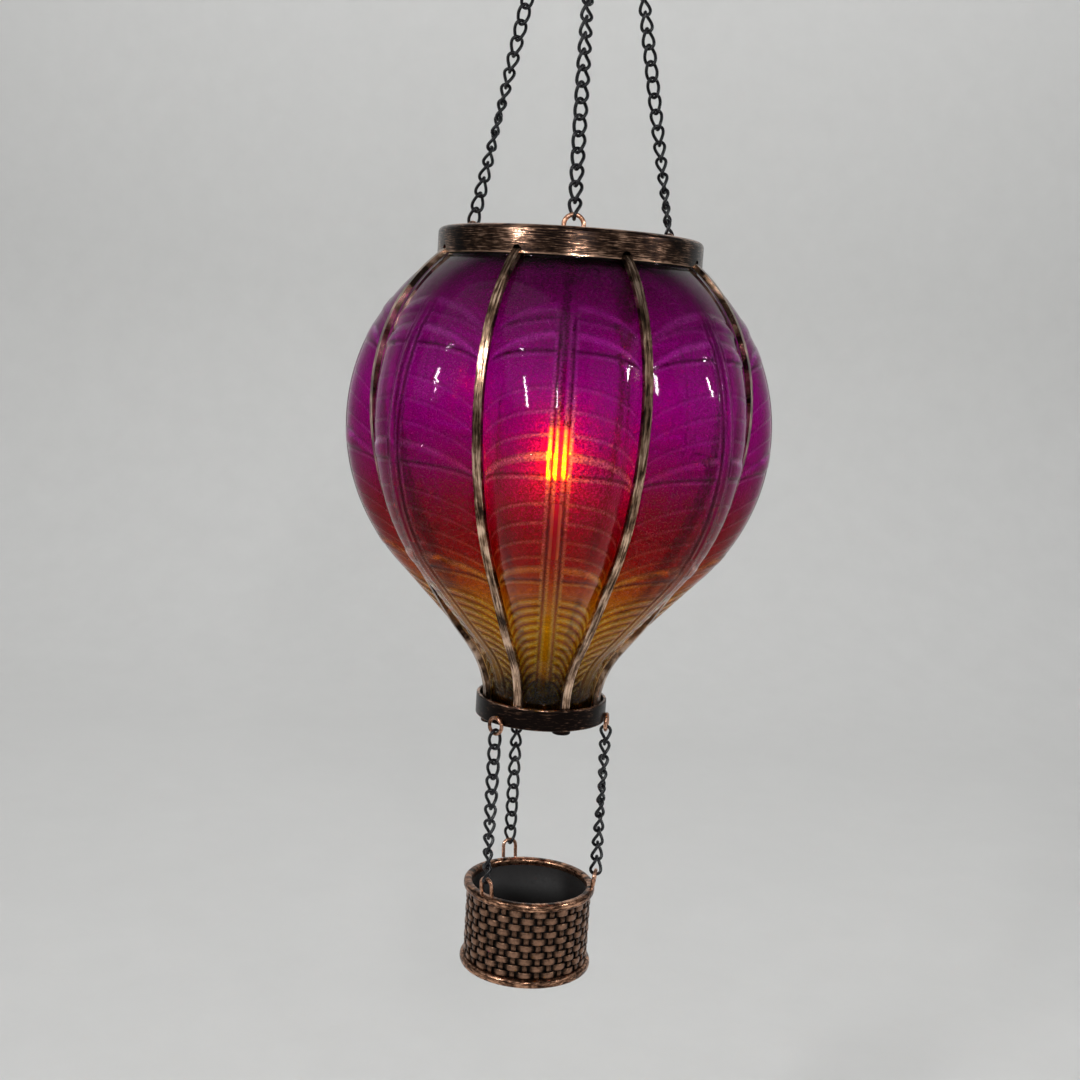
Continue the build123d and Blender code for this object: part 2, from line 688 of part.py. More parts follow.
with BuildPart() as led:
    with BuildSketch(Plane.XY.offset(level(GLOBE_TOP + 8))):
        Circle(LED_RADIUS)
    extrude(amount=8 - FIT)
    fillet(led.edges().group_by(Axis.Z)[0], radius=LED_RADIUS - 0.1)
write(led, "led")

with BuildPart() as lamp_globe:
    with BuildSketch(Plane.XZ):
        with BuildLine():
            dome_start = level(GLOBE_BOTTOM - GLOBE_RADIUS)
            mouth = level(GLOBE_TOP - 1.5)
            globe_inner = GLOBE_RADIUS - GLOBE_WALL
            Polyline(
                (GLOBE_RADIUS, dome_start),
                (GLOBE_RADIUS, mouth),
                (globe_inner, mouth),
                (globe_inner, dome_start),
            )
            CenterArc((0, dome_start), globe_inner, 0, -90)
            Line((0, dome_start - globe_inner), (0, dome_start - GLOBE_RADIUS))
            CenterArc((0, dome_start), GLOBE_RADIUS, -90, 90)
        make_face()
    revolve(axis=Axis.Z)
write(lamp_globe, "lamp_globe")

# ---- three lower chains, each in three parts: top link, run and bottom link ---------
for chain_name, azimuth in LOWER_AZIMUTHS.items():
    start = outward(azimuth) * EYELET_RADIUS + Vector(0, 0, level(first_link_depth))
    turn = even_turn(LOWER_LINKS)
    down = Vector(0, 0, -1)
    top_link = run_of_links(start, down, outward(azimuth), 1, LINK_PITCH, turn)
    write(top_link, f"chain_{chain_name}_top_link")
    middle = run_of_links(start, down, outward(azimuth), LOWER_LINKS - 2, LINK_PITCH, turn, 1)
    write(middle, f"chain_{chain_name}_run")
    bottom_link = run_of_links(start, down, outward(azimuth), 1, LINK_PITCH, turn, LOWER_LINKS - 1)
    write(bottom_link, f"chain_{chain_name}_bottom_link")


# ---- basket ---------------------------------------------------------------------------
def basket_bead(inner, top):
    """Rounded hoop at one end of the basket."""
    hoop = flat_ring(BASKET_RIM_RADIUS, inner, top, top + BASKET_BEAD)
    with BuildPart() as bead:
        add(hoop.part)
        fillet(bead.edges().filter_by(GeomType.CIRCLE), radius=1.4)
    return bead


basket_top_rim = basket_bead(BASKET_BORE_RADIUS - 0.4, basket_top)
write(basket_top_rim, "basket_top_rim")

basket_bottom_rim = basket_bead(BASKET_BORE_RADIUS, basket_bottom - BASKET_BEAD)
write(basket_bottom_rim, "basket_bottom_rim")

wall_top = basket_top + BASKET_BEAD + FIT
wall_bottom = basket_bottom - BASKET_BEAD - FIT
basket_wall = flat_ring(BASKET_RADIUS, BASKET_BORE_RADIUS, wall_top, wall_bottom)
write(basket_wall, "basket_wall")

floor_top = basket_bottom - BASKET_BEAD + 0.1
basket_floor = flat_ring(BASKET_BORE_RADIUS - 0.1, 0, floor_top, floor_top + BASKET_FLOOR)
write(basket_floor, "basket_floor")

loop_rise = basket_top - 0.1 - basket_loop_depth
loop_out = EYELET_RADIUS - BASKET_LOOP_LEG
loop_lean = degrees(asin(loop_out / hypot(loop_out, loop_rise)))
loop_leg = hypot(loop_out, loop_rise) - BASKET_LOOP_HALF
with BuildPart() as basket_loops:
    for azimuth in LOWER_AZIMUTHS.values():
        base = upright(azimuth, BASKET_LOOP_LEG, basket_top - 0.1, loop_lean)
        spring = base.shift_origin(base.from_local_coords((0, loop_leg, 0)))
        add(bent_wire(staple(spring, BASKET_LOOP_HALF, loop_leg), EYELET_WIRE).part)
write(basket_loops, "basket_loops")
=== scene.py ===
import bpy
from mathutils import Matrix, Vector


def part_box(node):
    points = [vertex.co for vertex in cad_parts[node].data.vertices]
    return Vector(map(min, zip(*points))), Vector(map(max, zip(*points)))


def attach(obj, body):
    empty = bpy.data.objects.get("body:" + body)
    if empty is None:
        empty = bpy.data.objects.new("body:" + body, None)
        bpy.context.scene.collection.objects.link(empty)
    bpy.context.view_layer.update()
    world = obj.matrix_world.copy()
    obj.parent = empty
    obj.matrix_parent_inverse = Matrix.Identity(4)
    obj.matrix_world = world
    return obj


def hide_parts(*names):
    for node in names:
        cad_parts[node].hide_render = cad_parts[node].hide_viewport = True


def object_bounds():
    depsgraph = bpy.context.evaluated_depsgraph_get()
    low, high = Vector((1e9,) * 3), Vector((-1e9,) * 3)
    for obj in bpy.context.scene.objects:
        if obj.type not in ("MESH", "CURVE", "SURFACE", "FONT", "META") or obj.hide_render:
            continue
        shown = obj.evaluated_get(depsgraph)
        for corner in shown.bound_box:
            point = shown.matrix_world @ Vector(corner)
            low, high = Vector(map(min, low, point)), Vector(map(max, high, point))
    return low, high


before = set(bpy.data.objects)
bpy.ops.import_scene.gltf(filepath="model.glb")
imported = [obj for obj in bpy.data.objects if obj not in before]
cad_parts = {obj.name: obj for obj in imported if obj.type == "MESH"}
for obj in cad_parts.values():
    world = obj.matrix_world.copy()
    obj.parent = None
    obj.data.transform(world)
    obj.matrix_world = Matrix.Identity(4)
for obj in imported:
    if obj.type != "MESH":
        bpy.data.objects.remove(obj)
cad_bounds = [list(corner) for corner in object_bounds()]

import math

import bmesh
import bpy
from mathutils import Matrix, Quaternion, Vector

# Hanging balloon lantern: glass, chains, weave, finishes, lamp glow, stage and camera.
# Metres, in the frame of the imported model. "Depth" is measured down from the lower
# edge of the cap ring, "azimuth" turns from the front (-Y) towards +X.

MM = 0.001
TAU = 2 * math.pi
GORES = 8

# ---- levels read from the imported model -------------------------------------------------
RIM_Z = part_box("cap_ring")[0][2]
GLASS_LOW, GLASS_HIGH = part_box("glass_envelope")
GLASS_TOP = RIM_Z - GLASS_HIGH[2]
NECK_DEPTH = RIM_Z - GLASS_LOW[2]
CREST = GLASS_HIGH[0]


def level(depth):
    """Height of a depth below the cap ring's lower edge."""
    return RIM_Z - depth


def outward(azimuth):
    """Unit vector away from the axis at an azimuth in degrees."""
    a = math.radians(azimuth)
    return Vector((math.sin(a), -math.cos(a), 0))


# ---- the balloon's outline, as the CAD part has it -------------------------------------
BULGE_RADIUS = 80.5 * MM
BULGE_CENTRE = CREST - BULGE_RADIUS
BULGE_DEPTH = 65.5 * MM
FUNNEL_SLOPE = math.radians(44)
NECK_RADIUS = 23.2 * MM
NECK_FLARE = 35 * MM
GROOVE_TOP, GROOVE_DEEPEST, GROOVE_NECK = 0.0195, 0.19, 0.03
GROOVE_DEEPEST_DEPTH, GROOVE_FADE_DEPTH = 115 * MM, 165 * MM
GROOVE_SWELL = 1.25
GLASS_WALL = 2 * MM

funnel_start = BULGE_DEPTH + BULGE_RADIUS * math.cos(FUNNEL_SLOPE)
funnel_radius = BULGE_CENTRE + BULGE_RADIUS * math.sin(FUNNEL_SLOPE)
flare_start = NECK_DEPTH - NECK_FLARE * math.sin(FUNNEL_SLOPE)
flare_radius = NECK_RADIUS + NECK_FLARE * (1 - math.cos(FUNNEL_SLOPE))


def crest_radius(depth):
    """Radius of the lobes' crests: a round bulge, a straight funnel, a flared neck."""
    if depth < funnel_start:
        return BULGE_CENTRE + math.sqrt(BULGE_RADIUS**2 - (depth - BULGE_DEPTH) ** 2)
    if depth > flare_start:
        return NECK_RADIUS + NECK_FLARE - math.sqrt(NECK_FLARE**2 - (NECK_DEPTH - depth) ** 2)
    along = (depth - funnel_start) / (flare_start - funnel_start)
    return funnel_radius + (flare_radius - funnel_radius) * along


def groove_radius(depth):
    """Radius of the grooves between the lobes, deepest half way down the funnel."""
    if depth < GROOVE_DEEPEST_DEPTH:
        swell = 1 - (1 - depth / GROOVE_DEEPEST_DEPTH) ** GROOVE_SWELL
        share = GROOVE_TOP + (GROOVE_DEEPEST - GROOVE_TOP) * swell
    else:
        span = GROOVE_FADE_DEPTH - GROOVE_DEEPEST_DEPTH
        fade = min((depth - GROOVE_DEEPEST_DEPTH) / span, 1)
        share = GROOVE_NECK + (GROOVE_DEEPEST - GROOVE_NECK) * (1 + math.cos(math.pi * fade)) / 2
    return crest_radius(depth) * (1 - share)


def lobe(crest, groove):
    """Centre distance and radius of the arc from groove to crest to groove."""
    centre = (crest**2 - groove**2) / (2 * (crest - groove * math.cos(math.pi / GORES)))
    return centre, crest - centre


# ---- node helpers ----------------------------------------------------------------------
class Nodes:
    """Builds one material's node tree with short calls."""

    def __init__(self, name):
        self.material = bpy.data.materials.new(name)
        self.material.use_nodes = True
        self.tree = self.material.node_tree
        self.tree.nodes.clear()
        self.output = self.tree.nodes.new("ShaderNodeOutputMaterial")

    def add(self, kind, inputs=None, **settings):
        """New node; each input is a value to set or a socket to link."""
        node = self.tree.nodes.new(kind)
        for key, value in settings.items():
            setattr(node, key, value)
        for key, value in (inputs or {}).items():
            if isinstance(value, bpy.types.NodeSocket):
                self.tree.links.new(value, node.inputs[key])
            else:
                node.inputs[key].default_value = value
        return node

    def math(self, operation, a, b=0.0, clamp=False):
        """Result of one operation on two values or sockets."""
        inputs = {0: a, 1: b}
        return self.add("ShaderNodeMath", inputs, operation=operation, use_clamp=clamp).outputs[0]

    def times(self, *factors):
        """Product of two or more values or sockets."""
        result = factors[0]
        for factor in factors[1:]:
            result = self.math("MULTIPLY", result, factor)
        return result

    def highest(self, *values):
        """Largest of two or more values or sockets."""
        result = values[0]
        for value in values[1:]:
            result = self.math("MAXIMUM", result, value)
        return result

    def blend(self, share, first, second):
        """Colour that goes from first to second as share goes from 0 to 1."""
        inputs = {0: share, 6: first, 7: second}
        return self.add("ShaderNodeMix", inputs, data_type="RGBA").outputs[2]

    def ramp(self, value, stops):
        """Colour along a ramp of (position, colour) stops."""
        node = self.add("ShaderNodeValToRGB", {"Fac": value})
        elements = node.color_ramp.elements
        while len(elements) < len(stops):
            elements.new(0.5)
        for element, (position, colour) in zip(elements, stops):
            element.position = position
            element.color = (*colour, 1)
        return node.outputs["Color"]

    def object_point(self):
        """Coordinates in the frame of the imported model."""
        return self.add("ShaderNodeTexCoord").outputs["Object"]

    def height(self):
        """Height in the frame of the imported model."""
        return self.add("ShaderNodeSeparateXYZ", {"Vector": self.object_point()}).outputs["Z"]

    def noise(self, scale, detail=4.0, rough=0.55, vector=None):
        """Noise value at a place, the object's own unless another vector is given."""
        inputs = {"Scale": scale, "Detail": detail, "Roughness": rough}
        inputs["Vector"] = vector or self.object_point()
        return self.add("ShaderNodeTexNoise", inputs).outputs["Fac"]

    def around(self, turn_scale, height_scale):
        """Coordinates that run round the axis and along it, for brushed marks."""
        parts = self.add("ShaderNodeSeparateXYZ", {"Vector": self.object_point()})
        turn = self.math("ARCTAN2", parts.outputs["Y"], parts.outputs["X"])
        pair = {"X": self.times(turn, turn_scale)}
        pair["Y"] = self.times(parts.outputs["Z"], height_scale)
        return self.add("ShaderNodeCombineXYZ", pair).outputs[0]

    def bump(self, height, strength, distance):
        """Normal bent by a height value; the distance is in metres."""
        inputs = {"Height": height, "Strength": strength, "Distance": distance}
        return self.add("ShaderNodeBump", inputs).outputs["Normal"]

    def finish(self, shader):
        """Links the shader to the output and returns the material."""
        self.tree.links.new(shader, self.output.inputs["Surface"])
        return self.material


# Rubbed edge: half its width and how much brighter it gets.
EDGE_HALF = 0.9 * MM
EDGE_RUB = 0.16
# Spread of the wear over which the tones and the roughness change.
TONE_SPAN = 0.09
ROUGH_SPAN = 0.1
# Depth of the bumps in metres.
SURFACE_BUMP = 0.0003
GRAIN_BUMP = 0.0002
GLASS_BUMP = 0.0004
SPECKLE_BUMP = 0.0006


def patina_metal(name, tones, streaks, roughness, wear, edges=(), relief_strength=0.3):
    """Dark lacquered metal with brushed or rubbed streaks of bare copper.

    tones are dark, middle and bright colours, and wear is the share that stays dark. streaks
    gives "round" with scales round the axis and up it, or "along" with a scale for each axis.
    edges are heights where the metal is rubbed brighter.
    """
    n = Nodes(name)
    if streaks[0] == "round":
        streak = n.noise(1.0, 3, 0.6, n.around(*streaks[1:]))
    else:
        mapping = {"Vector": n.object_point(), "Scale": streaks[1:]}
        streak = n.noise(1.0, 4, 0.65, n.add("ShaderNodeMapping", mapping).outputs[0])
    patch = n.noise(110, 3, 0.6)
    mix = n.math("ADD", n.times(streak, 0.6), n.times(patch, 0.4))
    if edges:
        height = n.height()
        for edge in edges:
            rub = n.times(stripe(n, height, edge, EDGE_HALF), EDGE_RUB)
            mix = n.math("ADD", mix, rub)
    dark, mid, bright = tones
    colour = n.ramp(mix, [(wear - TONE_SPAN, dark), (wear, mid), (wear + TONE_SPAN, bright)])
    dull, shiny = (roughness + 0.1,) * 3, (roughness,) * 3
    rough = n.ramp(mix, [(wear - ROUGH_SPAN, dull), (wear + ROUGH_SPAN, shiny)])
    inputs = {"Base Color": colour, "Metallic": 0.95, "Roughness": rough}
    inputs["Normal"] = n.bump(mix, relief_strength, SURFACE_BUMP)
    return n.finish(n.add("ShaderNodeBsdfPrincipled", inputs).outputs["BSDF"])


def plain_finish(name, colour, roughness, metallic=0.0, grain=700, relief=0.12, spread=0.25):
    """Moulded, painted or bare surface with fine grain and slight colour drift."""
    n = Nodes(name)
    grains = n.noise(grain, 5, 0.6)
    dim = tuple(c * (1 - spread) for c in colour)
    lit = tuple(min(c * (1 + spread), 1) for c in colour)
    tone = n.ramp(grains, [(0.3, dim), (0.7, lit)])
    smoother, rougher = (roughness * 0.85,) * 3, (min(roughness * 1.15, 1),) * 3
    rough = n.ramp(grains, [(0.3, smoother), (0.7, rougher)])
    inputs = {"Base Color": tone, "Metallic": metallic, "Roughness": rough}
    inputs["Normal"] = n.bump(grains, relief, GRAIN_BUMP)
    return n.finish(n.add("ShaderNodeBsdfPrincipled", inputs).outputs["BSDF"])


# ---- balloon glass ---------------------------------------------------------------------
# Depth in mm and colour of the glass; the top stops are darker as painted shade under the cap.
GLASS_COLOURS_AND_SHADE = [
    (0, (0.22, 0.004, 0.17)),
    (20, (0.50, 0.004, 0.40)),
    (50, (0.72, 0.006, 0.60)),
    (82, (0.60, 0.005, 0.38)),
    (97, (0.54, 0.004, 0.14)),
    (110, (0.54, 0.014, 0.014)),
    (122, (0.68, 0.20, 0.005)),
    (135, (0.84, 0.50, 0.008)),
    (158, (0.72, 0.42, 0.007)),
    (176, (0.26, 0.14, 0.003)),
]


def depth_share(n):
    """0 at the top of the glass, 1 at the bottom, from the height on the piece."""
    limits = {"From Min": level(0), "From Max": level(NECK_DEPTH), "Value": n.height()}
    return n.add("ShaderNodeMapRange", limits).outputs["Result"]


def glass_tone(n, strength=1.0):
    """Glass colour by depth with painted shade at the top and slight clouding; strength is an
    exponent.
    """
    stops = []
    for depth, colour in GLASS_COLOURS_AND_SHADE:
        stops.append((depth * MM / NECK_DEPTH, tuple(c**strength for c in colour)))
    cloud = n.times(n.math("SUBTRACT", n.noise(45, 3), 0.5), 0.05)
    return n.ramp(n.math("ADD", depth_share(n), cloud), stops)


# Raised pattern of one gore, as depths and widths in mm: the middle band, and each
# crescent's upper and lower edge where they cross the middle.
BAND_HALF = 2.6
BAND_FADE_IN = (18.0, 32.0)
BAND_FADE_OUT = (168.0, 171.0)
CRESCENTS = [(18.0, 22.5), (27.6, 33.7), (69.0, 76.0), (110.5, 115.5)]
VEINS = [45.0, 53.0, 61.0, 85.0, 92.0, 99.0, 105.0]
BARS_START, BARS_END, BAR_PITCH, BAR_DROP = 122.0, 166.0, 3.9, 20.0
ARCH_DROP = 21.0
# Share across the gore where the pattern ends, and half the width of a fine line of painted shade
# and painted highlight in mm.
MARGIN = 0.93
LINE = 0.8
# Etched strip of the middle band: depths of its fades and its half width's fade.
ETCHED_TOP = (84, 88)
ETCHED_FOOT = (109, 105)
ETCHED_SIDE = (2.2, 1.6)
# Share across where the glass in the groove has become dull.
GROOVE_EDGE = 0.985


def arched(n, depth, across, drop):
    """Depth less the fall of an arch, so that an arch is a line of one value."""
    reach = n.times(across, MARGIN)
    rise = n.math("SQRT", n.math("SUBTRACT", 1.0, n.times(reach, reach)))
    return n.math("SUBTRACT", depth, n.times(n.math("SUBTRACT", 1.0, rise), drop))


def stripe(n, value, middle, half):
    """1 on a line, falling to 0 at half a width each side."""
    away = n.math("ABSOLUTE", n.math("SUBTRACT", value, middle))
    return n.math("SUBTRACT", 1.0, n.math("DIVIDE", away, half), clamp=True)


def gate(n, value, start, end):
    """0 at start, 1 at end, clamped."""
    limits = {"Value": value, "From Min": start, "From Max": end}
    return n.add("ShaderNodeMapRange", limits).outputs["Result"]


def pattern_place(n):
    """Distance from the gore's middle, depth, and share across, from the pattern attribute."""
    source = n.add("ShaderNodeAttribute", attribute_name="pattern").outputs["Vector"]
    parts = n.add("ShaderNodeSeparateXYZ", {"Vector": source})
    return [parts.outputs[key] for key in "XYZ"]


def pattern_shade_and_highlights(n, lateral, depth, across):
    """Painted shade and painted highlights along the edges of the pressed pattern."""
    rise = arched(n, depth, across, ARCH_DROP)
    square = n.times(across, across)
    # Dark lines are painted shade and bright lines painted highlights, along crescents and veins.
    dark, bright = [], []
    for index, (upper, lower) in enumerate(CRESCENTS):
        low = n.math("ADD", rise, n.times(square, lower - upper))
        strength = 0.45 if index == 0 else 1.0
        dark.append(n.times(stripe(n, low, lower, LINE * 1.4), strength))
        dark.append(n.times(stripe(n, rise, upper - 0.9, LINE), 0.5 * strength))
        bright.append(n.times(stripe(n, rise, upper + 0.4, LINE * 2.2), strength))
        bright.append(n.times(stripe(n, low, lower + 1.3, LINE), 0.5 * strength))
    for middle in VEINS:
        dark.append(n.times(stripe(n, rise, middle, LINE * 1.2), 0.4))
        bright.append(n.times(stripe(n, rise, middle + 1.1, LINE), 0.35))
    beside = gate(n, lateral, BAND_HALF + 0.3, BAND_HALF + 1.0)

    # The bars beside the band get painted shade and painted highlights in turn.
    fall = arched(n, depth, across, BAR_DROP)
    wave = n.math("SINE", n.times(n.math("SUBTRACT", fall, BARS_START), TAU / BAR_PITCH))
    bars_begin = gate(n, fall, BARS_START - 1, BARS_START + 2)
    bars_finish = gate(n, fall, BARS_END + 1, BARS_END - 2)
    bars = n.times(bars_begin, beside, bars_finish)
    shade_bars = n.times(gate(n, wave, 0.35, 0.95), bars, 0.95)
    highlight_bars = n.times(gate(n, wave, -0.2, -0.9), bars, 0.9)

    # The middle band gets painted shade on its edge and painted highlights each side of it.
    span = n.times(gate(n, depth, *BAND_FADE_IN), gate(n, depth, *BAND_FADE_OUT[::-1]))
    shade_band = n.times(stripe(n, lateral, BAND_HALF, LINE * 1.3), span)
    outer_highlight_band = n.times(stripe(n, lateral, BAND_HALF + 1.1, LINE), span, 0.8)
    inner_highlight_band = n.times(stripe(n, lateral, BAND_HALF - 1.1, LINE), span, 0.6)

    shade_lines = n.highest(n.times(n.highest(*dark), beside), shade_bars, shade_band)
    highlight_lines = n.times(n.highest(*bright), beside)
    highlight_lines = n.highest(highlight_lines, highlight_bars, outer_highlight_band, inner_highlight_band)
    inside = gate(n, across, MARGIN + 0.03, MARGIN - 0.03)
    return n.times(shade_lines, inside), n.times(highlight_lines, inside)


# Optics of the glass. The exponents say how deep the colour is on each part of the outside.
GLASS_IOR = 1.22
FROSTED_IOR = 1.45
OUTSIDE_SPECULAR, INSIDE_SPECULAR = 0.3, 0.1
POLISHED_ROUGHNESS, ETCHED_ROUGHNESS = 0.035, 0.45
CLEAR_ROUGHNESS, FROSTED_ROUGHNESS = 0.08, 0.5
# The last two exponents give the painted shade and painted highlights of the pressed lines.
FACING_TONE, GRAZING_TONE, SHADE_TONE, HIGHLIGHT_TONE = 1.7, 4.2, 9.0, 0.1
RIM_TONE = 2.2
# Stretches of the layer weight over which the tone deepens and the rim turns dull.
GRAZING_FADE = (0.3, 0.9)
RIM_FADE = (0.80, 0.97)
RIM_SHARE = 0.9


def outer_glass():
    """Polished outside of the coloured glass, with painted shade and highlights on the pressed
    lines.
    """
    n = Nodes("glass_outside")
    lateral, depth, across = pattern_place(n)
    # dark and bright are the painted shade and painted highlights of the pressed lines.
    dark, bright = pattern_shade_and_highlights(n, lateral, depth, across)
    facing = n.add("ShaderNodeLayerWeight", {"Blend": 0.35}).outputs["Facing"]
    grazing = gate(n, facing, *GRAZING_FADE)
    plain = n.blend(grazing, glass_tone(n, FACING_TONE), glass_tone(n, GRAZING_TONE))
    # The bright lines lighten the glass as painted highlights; further down the dark lines deepen
    # it as painted shade.
    lit = n.blend(bright, plain, glass_tone(n, HIGHLIGHT_TONE))
    etched = n.times(gate(n, depth, *ETCHED_TOP), gate(n, depth, *ETCHED_FOOT))
    etched = n.times(etched, gate(n, lateral, *ETCHED_SIDE))
    etched = n.highest(etched, gate(n, across, MARGIN, GROOVE_EDGE))
    rough = n.math("ADD", n.times(etched, ETCHED_ROUGHNESS), POLISHED_ROUGHNESS)
    height = n.math("SUBTRACT", n.times(bright, 0.5), dark)
    inputs = {"Base Color": n.blend(dark, lit, glass_tone(n, SHADE_TONE)), "Roughness": rough}
    inputs["IOR"] = GLASS_IOR
    inputs["Transmission Weight"] = 1.0
    inputs["Specular IOR Level"] = OUTSIDE_SPECULAR
    inputs["Normal"] = n.bump(height, 0.2, GLASS_BUMP)
    polished = n.add("ShaderNodeBsdfPrincipled", inputs).outputs["BSDF"]
    rim = {"Base Color": glass_tone(n, RIM_TONE), "Roughness": 0.8, "Specular IOR Level": 0.0}
    rim_shader = n.add("ShaderNodeBsdfPrincipled", rim).outputs["BSDF"]
    share = n.times(gate(n, facing, *RIM_FADE), RIM_SHARE)
    mix = n.add("ShaderNodeMixShader", {0: share, 1: polished, 2: rim_shader})
    return n.finish(mix.outputs[0])


def inner_glass():
    """Inside of the glass: speckled by the coating, so the lamp blooms through it."""
    n = Nodes("glass_inside")
    speckle = n.noise(1300, 2, 0.5)
    clear = {"Base Color": glass_tone(n, 0.7), "Roughness": CLEAR_ROUGHNESS, "IOR": GLASS_IOR}
    frosted = {"Base Color": glass_tone(n, 0.6), "Roughness": FROSTED_ROUGHNESS}
    frosted["IOR"] = FROSTED_IOR
    frosted["Normal"] = n.bump(speckle, 0.6, SPECKLE_BUMP)
    for inputs in (clear, frosted):
        inputs["Transmission Weight"] = 1.0
        inputs["Specular IOR Level"] = INSIDE_SPECULAR
    clear_shader = n.add("ShaderNodeBsdfPrincipled", clear).outputs["BSDF"]
    frosted_shader = n.add("ShaderNodeBsdfPrincipled", frosted).outputs["BSDF"]
    share = n.ramp(speckle, [(0.38, (0.12,) * 3), (0.64, (0.75,) * 3)])
    mix = n.add("ShaderNodeMixShader", {0: share, 1: clear_shader, 2: frosted_shader})
    return n.finish(mix.outputs[0])


# Height of the whole relief, and shares of it that the veins and bars reach.
RELIEF_HEIGHT = 0.45 * MM
VEIN_HEIGHT = 0.2
BAR_HEIGHT = 0.6


def step(value, start, end):
    """Smooth 0 to 1 between two values."""
    t = min(max((value - start) / (end - start), 0.0), 1.0)
    return t * t * (3 - 2 * t)


def fall_of(across, drop):
    """How far an arch has fallen from the middle of the gore."""
    return drop * (1 - math.sqrt(1 - (MARGIN * across) ** 2))


def relief(lateral, depth, across):
    """Height, 0 to 1, of the pressed pattern: raised band, crescents and bars."""
    inside = 1 - step(across, MARGIN - 0.04, MARGIN + 0.03)
    if not inside:
        return 0.0
    span = step(depth, *BAND_FADE_IN) * (1 - step(depth, *BAND_FADE_OUT))
    height = span * (1 - step(lateral, BAND_HALF - 0.5, BAND_HALF + 0.5))
    rise = depth - fall_of(across, ARCH_DROP)
    for upper, lower in CRESCENTS:
        low = rise + (lower - upper) * across**2
        crescent = step(rise, upper - 0.6, upper + 0.6) * (1 - step(low, lower - 0.5, lower + 0.5))
        height = max(height, crescent)
    for middle in VEINS:
        height = max(height, VEIN_HEIGHT * math.exp(-((rise - middle) ** 2)))
    fall = depth - fall_of(across, BAR_DROP)
    if BARS_START < fall < BARS_END and lateral > BAND_HALF:
        wave = 0.5 - 0.5 * math.sin(TAU * (fall - BARS_START) / BAR_PITCH)
        height = max(height, BAR_HEIGHT * wave * step(lateral, BAND_HALF + 0.3, BAND_HALF + 1.2))
    return height * inside


COARSE_ROWS, FINE_ROWS = 112, 84
FINE_DEPTH = 120 * MM
OUTER_COLUMNS, INNER_COLUMNS = 54, 12
INNER_ROW_STEP = 4
COLUMN_CROWDING = 0.45


def glass_rows():
    """Depths from top to neck, closest together in the herringbone."""
    upper_span, lower_span = FINE_DEPTH - GLASS_TOP, NECK_DEPTH - FINE_DEPTH
    upper = [GLASS_TOP + upper_span * i / COARSE_ROWS for i in range(COARSE_ROWS)]
    lower = [FINE_DEPTH + lower_span * i / FINE_ROWS for i in range(FINE_ROWS + 1)]
    return upper + lower


def glass_columns(count):
    """Positions from -1 to 1 across a gore, closest together at the middle band."""
    places = [2 * i / count - 1 for i in range(count)]
    return [p * (1 - COLUMN_CROWDING + COLUMN_CROWDING * p * p) for p in places]


def glass_surface(bm, rows, columns, inset, embossed, slot_index):
    """One skin of the glass; the rows run down and the columns run round.

    Each vertex keeps its place on the gore in the pattern attribute, which the outer
    material reads: distance from the middle in mm, depth in mm and share across.
    """
    layers = bm.verts.layers.float_vector
    pattern = layers.get("pattern") or layers.new("pattern")
    half = math.pi / GORES
    grid = []
    for depth in rows:
        crest = crest_radius(depth) - inset
        groove = groove_radius(depth) - inset
        centre, radius = lobe(crest, groove)
        sweep = math.asin(groove * math.sin(half) / radius)
        ring = []
        for gore in range(GORES):
            facing = outward(gore * 360 / GORES)
            side = Vector((-facing.y, facing.x, 0))
            for across in columns:
                angle = sweep * across
                out = facing * math.cos(angle) + side * math.sin(angle)
                place = (abs(radius * angle) / MM, depth / MM, abs(across))
                lift = (relief(*place) - 1) * RELIEF_HEIGHT if embossed else 0.0
                point = facing * centre + out * (radius + lift)
                vert = bm.verts.new((point.x, point.y, level(depth)))
                vert[pattern] = place
                ring.append(vert)
        grid.append(ring)
    count = len(grid[0])
    for upper, lower in zip(grid, grid[1:]):
        for i in range(count):
            j = (i + 1) % count
            corners = (upper[i], lower[i], lower[j], upper[j])
            face = bm.faces.new(corners if embossed else corners[::-1])
            face.smooth = True
            face.material_index = slot_index
    return grid


def bridge(bm, first, second, flip):
    """Closes the rim between the outer and inner skins; the inner one has fewer columns."""
    n, m = len(first), len(second)
    i = j = 0
    while i < n or j < m:
        behind = j * n <= i * m and j < m
        if behind or i == n:
            corners = [first[i % n], second[j % m], second[(j + 1) % m]]
            j += 1
        else:
            corners = [first[i % n], second[j % m], first[(i + 1) % n]]
            i += 1
        face = bm.faces.new(corners[::-1] if flip else corners)
        face.smooth = True


def new_piece(name, bm, materials, body, replaced):
    """Turns a bmesh into a piece that rides on a body and stands for a CAD node."""
    mesh = bpy.data.meshes.new(name)
    bm.normal_update()
    bm.to_mesh(mesh)
    bm.free()
    for material in materials:
        mesh.materials.append(material)
    piece = bpy.data.objects.new(name, mesh)
    bpy.context.scene.collection.objects.link(piece)
    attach(piece, body)
    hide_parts(*replaced)


def build_glass():
    """The blown envelope: embossed outside, plain inside, closed at both rims."""
    bm = bmesh.new()
    outer = glass_surface(bm, glass_rows(), glass_columns(OUTER_COLUMNS), 0, True, 0)
    inner_rows = glass_rows()[::INNER_ROW_STEP]
    if inner_rows[-1] < NECK_DEPTH:
        inner_rows.append(NECK_DEPTH)
    inner_columns = glass_columns(INNER_COLUMNS)
    inner = glass_surface(bm, inner_rows, inner_columns, GLASS_WALL, False, 1)
    bridge(bm, outer[0], inner[0], False)
    bridge(bm, outer[-1], inner[-1], True)
    materials = [outer_glass(), inner_glass()]
    new_piece("balloon_glass", bm, materials, "balloon", ["glass_envelope"])


